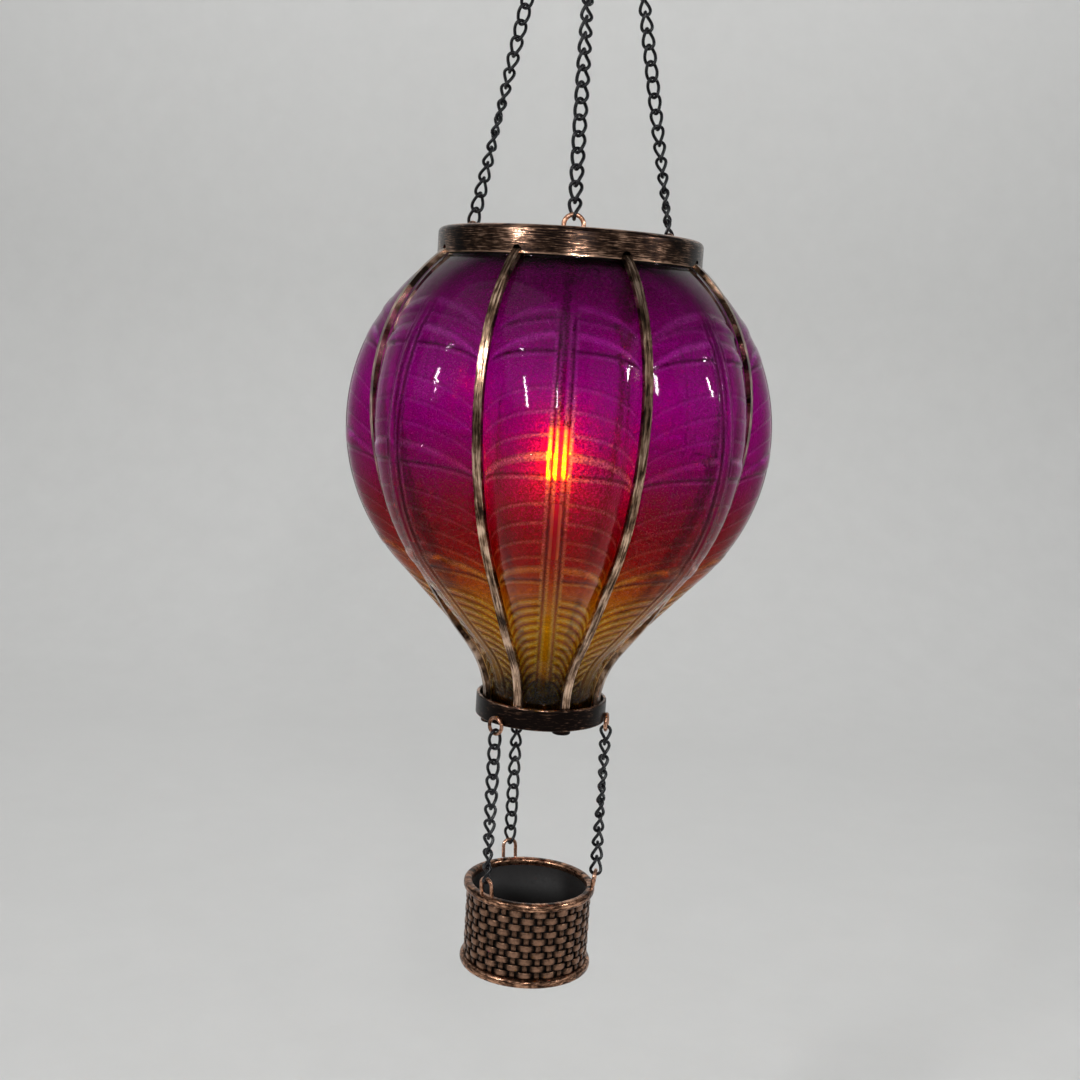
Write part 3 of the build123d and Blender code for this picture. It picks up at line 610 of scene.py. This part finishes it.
# ---- chains ----------------------------------------------------------------------------
LINK_WIRE = 1.35 * MM
LINK_WIDTH = 5.6 * MM
LINK_PITCH = 6.2 * MM
LINK_PLAY = 0.12 * MM
LINK_REACH = LINK_PITCH + LINK_WIRE + LINK_PLAY
LOWER_LINKS = 10
UPPER_LINKS = 32
LOWER_CHAINS = (("a", -40), ("b", 80), ("c", 200))
UPPER_CHAINS = (("front", 0), ("left", -120), ("right", 120))
LINK_STEPS, LINK_SIDES = 30, 9
# Half the turn between a curb link's two ends, and the turn from link to link.
LINK_TWIST = math.radians(45)
CHAIN_TURN = math.radians(10)
CAP_EYELET_RADIUS = 46.2 * MM
CAP_EYELET_WIRE = 1.7 * MM
CHAIN_SPACING = 2.5 * MM
GATHER_PLAY = 0.25 * MM


def link_centre_line(steps=LINK_STEPS):
    """Points round a curb link: a long loop whose ends are twisted a quarter turn apart."""
    bend = (LINK_WIDTH - LINK_WIRE) / 2
    flat = LINK_REACH / 2 - bend
    length = 4 * flat + TAU * bend
    points = []
    for i in range(steps):
        run = length * i / steps
        if run < 2 * flat:
            x, z = bend, run - flat
        elif run < 2 * flat + math.pi * bend:
            a = (run - 2 * flat) / bend
            x, z = bend * math.cos(a), flat + bend * math.sin(a)
        elif run < 4 * flat + math.pi * bend:
            x, z = -bend, flat - (run - 2 * flat - math.pi * bend)
        else:
            a = math.pi + (run - 4 * flat - math.pi * bend) / bend
            x, z = bend * math.cos(a), -flat + bend * math.sin(a)
        twist = LINK_TWIST * math.sin(math.pi / 2 * z / (LINK_REACH / 2))
        points.append(Vector((x * math.cos(twist), x * math.sin(twist), z)))
    return points


# A direction that no stretch of a link runs along, to lay the bar's sections from.
OFF_AXIS = Vector((0.13, 1, 0.07))


def sweep_ring(bm, points, radius, sides, matrix):
    """Closed round bar along a closed loop of points, placed by a matrix."""
    count = len(points)
    rings = []
    previous = None
    for i, point in enumerate(points):
        ahead = (points[(i + 1) % count] - points[i - 1]).normalized()
        side = ahead.cross(OFF_AXIS).normalized()
        if previous is not None and side.dot(previous) < 0:
            side = -side
        previous = side
        up = ahead.cross(side)
        ring = []
        for k in range(sides):
            a = TAU * k / sides
            place = point + (side * math.cos(a) + up * math.sin(a)) * radius
            ring.append(bm.verts.new(matrix @ place))
        rings.append(ring)
    for i in range(count):
        first, second = rings[i], rings[(i + 1) % count]
        for k in range(sides):
            j = (k + 1) % sides
            face = bm.faces.new((first[k], second[k], second[j], first[j]))
            face.smooth = True


def link_frame(origin, along, side, turn):
    """Place of a link: its long axis on along, its width turned from side."""
    along = along.normalized()
    side = (side - along * side.dot(along)).normalized()
    across = along.cross(side)
    c, s = math.cos(turn), math.sin(turn)
    x = side * c + across * s
    y = across * c - side * s
    matrix = Matrix((x, y, along)).transposed().to_4x4()
    matrix.translation = origin
    return matrix


def link_run(name, body, node, origins, along, side, turn, turn_step, material):
    """The links of one CAD node as one mesh; turn is the first link's."""
    bm = bmesh.new()
    points = link_centre_line()
    for i, origin in enumerate(origins):
        place = link_frame(origin, along, side, turn + turn_step * i)
        sweep_ring(bm, points, LINK_WIRE / 2, LINK_SIDES, place)
    bmesh.ops.recalc_face_normals(bm, faces=bm.faces)
    new_piece(name, bm, [material], body, [node])


def build_chains(material):
    """Curb links where the CAD model's links are, with a slow twist along each chain."""
    for name, azimuth in LOWER_CHAINS:
        build_lower_chain(name, azimuth, material)
    for name, azimuth in UPPER_CHAINS:
        build_upper_chain(name, azimuth, material)


def build_lower_chain(name, azimuth, material):
    """One plumb chain: its top link, the run below it and its bottom link."""
    low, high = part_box(f"chain_{name}_top_link")
    middle = (Vector(low) + Vector(high)) / 2
    down = Vector((0, 0, -1))
    turns = [LINK_TWIST + CHAIN_TURN * i for i in range(LOWER_LINKS)]
    spots = [middle - Vector((0, 0, LINK_PITCH * i)) for i in range(LOWER_LINKS)]
    last = LOWER_LINKS - 1
    for part, body, start, end in (
        ("top_link", "top_link", 0, 1),
        ("run", "chain", 1, last),
        ("bottom_link", "bottom_link", last, LOWER_LINKS),
    ):
        link_run(
            f"curb_{name}_{part}",
            f"{name}_{body}",
            f"chain_{name}_{part}",
            spots[start:end],
            down,
            outward(azimuth),
            turns[start],
            CHAIN_TURN,
            material,
        )


def build_upper_chain(name, azimuth, material):
    """One slanting chain between its eyelet on the cap and the gathering ring."""
    foot = outward(azimuth) * CAP_EYELET_RADIUS
    foot.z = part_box("cap_eyelets")[1][2] - CAP_EYELET_WIRE / 2
    ring_low, ring_high = (Vector(corner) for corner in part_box("gather_ring"))
    ring_wire = ring_high.y - ring_low.y
    radius = (ring_high.z - ring_low.z - ring_wire) / 2
    x = CHAIN_SPACING * ((azimuth > 0) - (azimuth < 0))
    head = Vector((x, 0, (ring_low.z + ring_high.z) / 2 - math.sqrt(radius**2 - x * x)))
    pull = (head - foot).normalized()
    cap_hold = (CAP_EYELET_WIRE + LINK_WIRE) / 2 + LINK_PLAY
    ring_hold = (ring_wire + LINK_WIRE) / 2 + GATHER_PLAY
    reach = (head - foot).length + cap_hold + ring_hold
    pitch = (reach - LINK_WIRE - LINK_PLAY) / UPPER_LINKS
    first = foot + pull * (LINK_REACH / 2 - cap_hold)
    origins = [first + pull * pitch * i for i in range(UPPER_LINKS)]
    # The lowest link stands radially in its eyelet and the highest across the ring's wire.
    total = math.radians(270 - azimuth)
    if azimuth > 0:
        total += math.pi
    link_run(
        f"curb_upper_{name}",
        "balloon",
        f"upper_chain_{name}",
        origins,
        pull,
        outward(azimuth),
        LINK_TWIST,
        total / (UPPER_LINKS - 1),
        material,
    )


# ---- basket ----------------------------------------------------------------------------
STAKES = 32
WEFT_ROWS = 10
# Radius of the weave's middle and how far the weavers swing to each side of it.
WEAVE_MIDDLE = 25.2 * MM
WEAVE_SWING = 0.5 * MM
# Half sizes of the weavers and stakes; a weaver's height is a share of the row's pitch.
WEAVER_DEPTH = 0.42 * MM
WEAVER_RISE = 0.46
STAKE_WIDTH = 1.1 * MM
STAKE_DEPTH = 0.34 * MM
STAKE_SWING = 0.75
# Steps to each stake or row along a strand, and sides round it.
WEAVER_STEPS, WEAVER_SIDES = 10, 12
STAKE_STEPS, STAKE_SIDES = 5, 8
# Squareness of the weavers' path and section, and of the stakes' section.
PATH_POWER, WEAVER_POWER, STAKE_POWER = 0.55, 0.6, 0.7
# Near-black sheet inside the weave, painted shade for the basket's inside: radii, sides round,
# reach past the weave.
SHADE_LINER = (24.02 * MM, 24.2 * MM)
SHADE_LINER_SIDES = 96
SHADE_LINER_TUCK = 0.9 * MM


def weave_metal():
    """Copper rubbed bare on the raised strands and black in the hollows between them."""
    n = Nodes("weave_copper")
    parts = n.add("ShaderNodeSeparateXYZ", {"Vector": n.object_point()})
    level_parts = {"X": parts.outputs["X"], "Y": parts.outputs["Y"]}
    flat = n.add("ShaderNodeCombineXYZ", level_parts).outputs[0]
    radius = n.add("ShaderNodeVectorMath", {0: flat}, operation="LENGTH").outputs["Value"]
    proud = gate(n, radius, WEAVE_MIDDLE - 0.1 * MM, WEAVE_MIDDLE + WEAVE_SWING + WEAVER_DEPTH)
    grain = n.times(n.math("SUBTRACT", n.noise(900, 4, 0.6), 0.5), 0.7)
    patch = n.times(n.math("SUBTRACT", n.noise(150, 3, 0.6), 0.5), 0.5)
    mix = n.math("ADD", n.math("ADD", proud, grain), patch)
    stops = [
        (0.2, (0.005, 0.003, 0.002)),
        (0.62, (0.08, 0.042, 0.026)),
        (1.0, (0.30, 0.165, 0.105)),
    ]
    rough = n.ramp(mix, [(0.2, (0.5,) * 3), (0.9, (0.28,) * 3)])
    inputs = {"Base Color": n.ramp(mix, stops), "Metallic": 0.9, "Roughness": rough}
    inputs["Normal"] = n.bump(grain, 0.3, GRAIN_BUMP)
    return n.finish(n.add("ShaderNodeBsdfPrincipled", inputs).outputs["BSDF"])


def swept(bm, rings, closed, slot_index=0):
    """Skin between rings of points; closed joins the last ring to the first."""
    verts = [[bm.verts.new(point) for point in ring] for ring in rings]
    sides = len(verts[0])
    pairs = list(zip(verts, verts[1:]))
    if closed:
        pairs.append((verts[-1], verts[0]))
    for first, second in pairs:
        for k in range(sides):
            j = (k + 1) % sides
            face = bm.faces.new((first[k], second[k], second[j], first[j]))
            face.smooth = True
            face.material_index = slot_index
    if not closed:
        bm.faces.new(verts[0][::-1])
        bm.faces.new(verts[-1])


def soft_square(angle, power):
    """Cosine and sine pushed outwards, so that a section is a rounded rectangle."""
    c, s = math.cos(angle), math.sin(angle)
    return math.copysign(abs(c) ** power, c), math.copysign(abs(s) ** power, s)


def circle_point(angle):
    """Unit vector at an angle round the axis."""
    return Vector((math.cos(angle), math.sin(angle), 0))


def add_weaver(bm, centre, z, pitch, row):
    """One flat weaver at a height, over and under the stakes; the rows alternate."""
    steps = STAKES * WEAVER_STEPS
    rings = []
    for i in range(steps):
        a = TAU * i / steps
        swing = soft_square(STAKES / 2 * a + math.pi * row, PATH_POWER)[0]
        radius = WEAVE_MIDDLE + WEAVE_SWING * swing
        ring = []
        for k in range(WEAVER_SIDES):
            push, rise = soft_square(TAU * k / WEAVER_SIDES, WEAVER_POWER)
            place = centre + circle_point(a) * (radius + push * WEAVER_DEPTH)
            ring.append(place + Vector((0, 0, z + rise * pitch * WEAVER_RISE)))
        rings.append(ring)
    swept(bm, rings, True)


def add_stake(bm, centre, low_z, high_z, pitch, stake):
    """One upright stake that gives way to the weavers on each side in turn."""
    a = TAU * stake / STAKES
    out = circle_point(a)
    side = Vector((-out.y, out.x, 0))
    steps = WEFT_ROWS * STAKE_STEPS
    rings = []
    for i in range(steps + 1):
        z = low_z + (high_z - low_z) * i / steps
        phase = (z - low_z) / pitch - 0.5
        radius = WEAVE_MIDDLE - STAKE_SWING * WEAVE_SWING * math.cos(math.pi * (stake + phase))
        ring = []
        for k in range(STAKE_SIDES):
            push, wide = soft_square(TAU * k / STAKE_SIDES, STAKE_POWER)
            place = centre + out * (radius + push * STAKE_DEPTH) + side * (wide * STAKE_WIDTH)
            ring.append(place + Vector((0, 0, z)))
        rings.append(ring)
    swept(bm, rings, False)


def add_shade_liner(bm, centre, bottom, top):
    """Thin near-black wall inside the weave, a sheet of painted shade for the basket's inside."""
    inner, outer = SHADE_LINER
    rings = []
    for radius, z in ((inner, bottom), (outer, bottom), (outer, top), (inner, top)):
        ring = []
        for i in range(SHADE_LINER_SIDES):
            ring.append(centre + circle_point(TAU * i / SHADE_LINER_SIDES) * radius + Vector((0, 0, z)))
        rings.append(ring)
    swept(bm, rings, True, 1)


def build_weave(material, shade_liner_material):
    """Woven wall: flat weavers over and under upright stakes, with a sheet of painted shade
    inside.
    """
    low, high = (Vector(corner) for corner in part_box("basket_wall"))
    pitch = (high.z - low.z) / WEFT_ROWS
    centre = Vector(((low.x + high.x) / 2, (low.y + high.y) / 2, 0))
    bm = bmesh.new()
    for row in range(WEFT_ROWS):
        add_weaver(bm, centre, low.z + pitch * (row + 0.5), pitch, row)
    for stake in range(STAKES):
        add_stake(bm, centre, low.z, high.z, pitch, stake)
    add_shade_liner(bm, centre, low.z - SHADE_LINER_TUCK, high.z + SHADE_LINER_TUCK)
    bmesh.ops.recalc_face_normals(bm, faces=bm.faces)
    materials = [material, shade_liner_material]
    new_piece("basket_weave", bm, materials, "basket", ["basket_wall"])


# ---- lamp ------------------------------------------------------------------------------
LAMP_STRENGTH = 190.0


def lamp_glow():
    """Frosted lamp cover that gives the lantern its light, most of it from the lower end."""
    n = Nodes("lamp_glow")
    mottle = n.noise(700, 3)
    low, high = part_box("lamp_globe")
    share = gate(n, n.height(), low[2], high[2])
    strength = n.ramp(share, [(0.30, (1.0,) * 3), (0.48, (0.22,) * 3), (0.8, (0.05,) * 3)])
    colour = n.ramp(mottle, [(0.3, (0.9, 0.8, 0.0)), (0.7, (0.9, 1.0, 0.0))])
    product = n.add("ShaderNodeVectorMath", {0: colour, 1: strength}, operation="MULTIPLY")
    glow = product.outputs[0]
    inputs = {"Base Color": (0.95, 0.7, 0.4, 1), "Roughness": 0.5, "Emission Color": glow}
    inputs["Emission Strength"] = LAMP_STRENGTH
    inputs["Normal"] = n.bump(mottle, 0.2, SURFACE_BUMP)
    return n.finish(n.add("ShaderNodeBsdfPrincipled", inputs).outputs["BSDF"])


# ---- finishes for the CAD pieces that stay ---------------------------------------------
# Dark, middle and bright tones of each patinated metal.
COPPER = ((0.010, 0.006, 0.005), (0.085, 0.045, 0.028), (0.62, 0.38, 0.26))
BRONZE = ((0.020, 0.011, 0.007), (0.24, 0.14, 0.085), (0.85, 0.60, 0.43))
LOOP_COPPER = ((0.08, 0.035, 0.02), (0.40, 0.19, 0.11), (0.78, 0.46, 0.32))
HOOP_COPPER = ((0.03, 0.016, 0.010), (0.20, 0.10, 0.06), (0.66, 0.36, 0.22))
RIBS = [f"rib_{i + 1}" for i in range(GORES)]
RIB_ROUNDING = 0.75 * MM
CAP_HEIGHT = 10.5 * MM


def set_material(nodes, material):
    """Gives the CAD pieces named one material."""
    for name in nodes:
        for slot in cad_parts[name].material_slots:
            slot.material = material


def round_edges(node, width, segments=3):
    """Softens a CAD piece's long edges without touching its mesh."""
    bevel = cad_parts[node].modifiers.new("rounded", "BEVEL")
    bevel.width = width
    bevel.segments = segments
    bevel.limit_method = "ANGLE"
    bevel.angle_limit = math.radians(50)


def finish_metalwork():
    """Cap, ribs, bottom ring, wire loops and the basket's rims and floor."""
    rims = [level(0), level(-CAP_HEIGHT)]
    ends = [corner[2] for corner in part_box("bottom_ring")]
    cap = patina_metal("cap_copper", COPPER, ("round", 9, 2400), 0.17, 0.54, rims)
    rib = patina_metal("rib_bronze", BRONZE, ("round", 95, 110), 0.2, 0.50)
    base = patina_metal("base_bronze", COPPER, ("round", 7, 1500), 0.24, 0.63, ends)
    even = ("along", 700, 700, 700)
    loop = patina_metal("loop_copper", LOOP_COPPER, even, 0.25, 0.48, relief_strength=0.1)
    basket = patina_metal("basket_copper", HOOP_COPPER, ("round", 10, 1100), 0.24, 0.50)
    set_material(["cap_ring", "cap_deck"], cap)
    set_material(RIBS + ["rib_beads"], rib)
    set_material(["bottom_ring", "bottom_plate", "base_screws"], base)
    set_material(["cap_eyelets", "lower_eyelets", "basket_loops"], loop)
    set_material(["basket_top_rim", "basket_bottom_rim", "basket_floor"], basket)
    for rib_name in RIBS:
        round_edges(rib_name, RIB_ROUNDING)


def finish_lid():
    """Plastic, rubber, metal and electric pieces of the solar lid and its lamp."""
    plastic = plain_finish("black_plastic", (0.022, 0.022, 0.024), 0.5, 0, 1800, 0.25)
    rubber = plain_finish("rubber", (0.02, 0.02, 0.02), 0.75, 0, 900, 0.2)
    steel = plain_finish("dark_steel", (0.24, 0.21, 0.18), 0.32, 1.0, 900, 0.15)
    nickel = plain_finish("nickel", (0.62, 0.61, 0.58), 0.25, 1.0, 600, 0.05)
    brass = plain_finish("brass_strip", (0.72, 0.52, 0.22), 0.3, 1.0, 700, 0.1)
    board = plain_finish("board_green", (0.02, 0.16, 0.06), 0.45, 0, 1200, 0.2)
    set_material(["lid_housing", "lid_base", "battery_cover"], plastic)
    set_material(["switch_body", "switch_slider", "led_socket"], plastic)
    set_material(["top_gasket", "bottom_gasket", "lid_seal"], rubber)
    set_material(["lamp_boss", "lamp_stem", "cover_screws"], steel)
    set_material(["battery"], nickel)
    set_material(["battery_contacts"], brass)
    set_material(["circuit_board"], board)
    set_material(["solar_cell"], solar_cell_finish())
    set_material(["solar_cover"], clear_finish("clear_cover", (0.93, 0.95, 0.97), 0.04))
    set_material(["led"], clear_finish("led_lens", (1.0, 0.86, 0.6), 0.1))
    set_material(["lamp_globe"], lamp_glow())


FINGERS_PER_METRE = 500
BARS_PER_METRE = 50
CLEAR_PLASTIC_IOR = 1.46


def solar_cell_finish():
    """Dark blue cell with fine silver fingers and two bus bars."""
    n = Nodes("solar_cell")
    parts = n.add("ShaderNodeSeparateXYZ", {"Vector": n.object_point()})
    fingers = n.math("FRACT", n.times(parts.outputs["X"], FINGERS_PER_METRE))
    bars = n.math("FRACT", n.math("ADD", n.times(parts.outputs["Y"], BARS_PER_METRE), 0.5))
    silver = n.highest(n.math("LESS_THAN", fingers, 0.12), n.math("LESS_THAN", bars, 0.06))
    grain = n.noise(120, 4)
    tone = n.ramp(grain, [(0.3, (0.006, 0.010, 0.045)), (0.7, (0.014, 0.028, 0.11))])
    colour = n.blend(silver, tone, (0.5, 0.52, 0.55, 1))
    inputs = {"Base Color": colour, "Roughness": 0.25, "Metallic": silver}
    return n.finish(n.add("ShaderNodeBsdfPrincipled", inputs).outputs["BSDF"])


def clear_finish(name, colour, roughness):
    """Clear plastic with a faint unevenness."""
    n = Nodes(name)
    haze = n.noise(300, 3)
    inputs = {"Base Color": (*colour, 1), "Roughness": roughness, "IOR": CLEAR_PLASTIC_IOR}
    inputs["Transmission Weight"] = 1.0
    inputs["Normal"] = n.bump(haze, 0.05, SURFACE_BUMP)
    return n.finish(n.add("ShaderNodeBsdfPrincipled", inputs).outputs["BSDF"])


# ---- stage, light and camera -----------------------------------------------------------
# The room round the object, in metres: half its width and depth, where its back is, and
# how far from the walls the floor is flat.
ROOM_HALF = (4.4, 3.0)
ROOM_BACK = 1.4
ROOM_CORNER = 1.0
ROOM_COVE = 0.5
ROOM_HEIGHT = 3.5
FLAT_INSET = 0.9
CORNER_STEPS, COVE_STEPS = 8, 12
FLOOR_DROP = 0.16
FLOOR_COLOUR = (0.62, 0.62, 0.61)


def room_outline(inset):
    """Rounded rectangle in plan, its back side at ROOM_BACK."""
    radius = ROOM_CORNER - inset
    points = []
    for quarter, (sx, sy) in enumerate(((1, 1), (-1, 1), (-1, -1), (1, -1))):
        x = sx * (ROOM_HALF[0] - ROOM_CORNER)
        y = ROOM_BACK - ROOM_HALF[1] + sy * (ROOM_HALF[1] - ROOM_CORNER)
        for i in range(CORNER_STEPS + 1):
            a = math.radians(90 * quarter + 90 * i / CORNER_STEPS)
            points.append((x + radius * math.cos(a), y + radius * math.sin(a)))
    return points


def build_stage():
    """Pale floor that curves up into plain walls all round, so every view has the same ground."""
    floor_z = cad_bounds[0][2] - FLOOR_DROP
    bm = bmesh.new()
    profile = [(FLAT_INSET, floor_z)]
    for i in range(COVE_STEPS + 1):
        a = math.pi / 2 * i / COVE_STEPS
        profile.append((ROOM_COVE * (1 - math.sin(a)), floor_z + ROOM_COVE * (1 - math.cos(a))))
    profile.append((0.0, floor_z + ROOM_HEIGHT))
    rings = [[bm.verts.new((x, y, z)) for x, y in room_outline(inset)] for inset, z in profile]
    bm.faces.new(rings[0]).smooth = True
    for first, second in zip(rings, rings[1:]):
        for k in range(len(first)):
            j = (k + 1) % len(first)
            bm.faces.new((second[k], second[j], first[j], first[k])).smooth = True
    mesh = bpy.data.meshes.new("floor")
    bm.to_mesh(mesh)
    bm.free()
    mesh.materials.append(plain_finish("pale_floor", FLOOR_COLOUR, 0.7, 0, 30, 0.02, 0.02))
    floor = bpy.data.objects.new("floor", mesh)
    bpy.context.scene.collection.objects.link(floor)


def area_light(name, place, target, size, power, roll=0.0):
    """Rectangular light at a place, aimed at a target; its size in metres, power in watts."""
    light = bpy.data.lights.new(name, "AREA")
    light.shape = "RECTANGLE"
    light.size, light.size_y = size
    light.energy = power
    lamp = bpy.data.objects.new(name, light)
    lamp.location = place
    aim = (Vector(target) - Vector(place)).to_track_quat("-Z", "Y")
    lamp.rotation_euler = (aim @ Quaternion((0, 0, 1), math.radians(roll))).to_euler()
    bpy.context.scene.collection.objects.link(lamp)
    return lamp


# Small lights for the glints: name, azimuth, height above the aim, size in metres, roll.
TUBES = (
    ("tube_left", -43, 0.28, (0.045, 0.20), 25),
    ("tube_front", 7, 0.23, (0.045, 0.16), -22),
    ("tube_right", 74, 0.33, (0.045, 0.16), 18),
)
TUBE_DISTANCE = 0.9
# Watts to a square metre of tube, and the depth at which the lights aim.
TUBE_POWER = 330
AIM_DEPTH = 0.05
WORLD_COLOUR = (0.90, 0.94, 1.0, 1)
WORLD_STRENGTH = 0.13


def build_lights():
    """Broad soft light, a wash on the back wall, and small tubes for glints on the glass."""
    centre = Vector((0, 0, level(AIM_DEPTH)))
    area_light("key", (-1.6, -1.8, 1.8), centre, (4.0, 4.0), 23)
    area_light("fill", (2.6, -1.6, 0.2), centre, (3.0, 3.6), 9)
    wash = area_light("back_wash", (0.0, 0.30, 1.3), (0, 1.4, -0.3), (2.6, 0.6), 24)
    wash.visible_glossy = False
    for name, azimuth, height, size, roll in TUBES:
        place = centre + outward(azimuth) * TUBE_DISTANCE + Vector((0, 0, height))
        area_light(name, place, centre, size, TUBE_POWER * size[0] * size[1], roll)
    world = bpy.data.worlds.new("studio")
    world.use_nodes = True
    background = world.node_tree.nodes["Background"]
    background.inputs["Color"].default_value = WORLD_COLOUR
    background.inputs["Strength"].default_value = WORLD_STRENGTH
    bpy.context.scene.world = world


# Where the photograph was taken from: lens in mm, angles in degrees.
CAMERA_LENS = 47.3
CAMERA_DISTANCE = 568.3 * MM
CAMERA_DEPTH = 29.3 * MM
CAMERA_PITCH = 8.15
CAMERA_ROLL = 3.66
CAMERA_YAW = -0.47
CAMERA_AZIMUTH = -0.73


def build_camera():
    """Camera in front, level with the upper glass, tipped down and rolled a little."""
    data = bpy.data.cameras.new("camera")
    data.lens = CAMERA_LENS
    data.sensor_width = 36
    data.clip_start = 0.01
    camera = bpy.data.objects.new("camera", data)
    place = outward(CAMERA_AZIMUTH) * CAMERA_DISTANCE
    place.z = level(CAMERA_DEPTH)
    heading = math.radians(-CAMERA_AZIMUTH + CAMERA_YAW)
    turn = Matrix.Rotation(-heading, 4, "Z")
    tip = Matrix.Rotation(math.radians(90 - CAMERA_PITCH), 4, "X")
    roll = Matrix.Rotation(math.radians(CAMERA_ROLL), 4, "Z")
    camera.matrix_world = Matrix.Translation(place) @ turn @ tip @ roll
    bpy.context.scene.collection.objects.link(camera)
    bpy.context.scene.camera = camera


finish_metalwork()
finish_lid()
black = plain_finish("black_enamel", (0.010, 0.010, 0.012), 0.22, 0.3, 500, 0.1)
set_material(["hanging_hook", "gather_ring"], black)
build_glass()
build_chains(black)
# The sheet inside the weave is near black, painted shade for the inside of the basket.
build_weave(weave_metal(), plain_finish("basket_shade_liner", (0.005, 0.004, 0.004), 0.6, 0.2, 900, 0.2))
build_stage()
build_lights()
build_camera()
bpy.context.scene.view_settings.view_transform = "Standard"
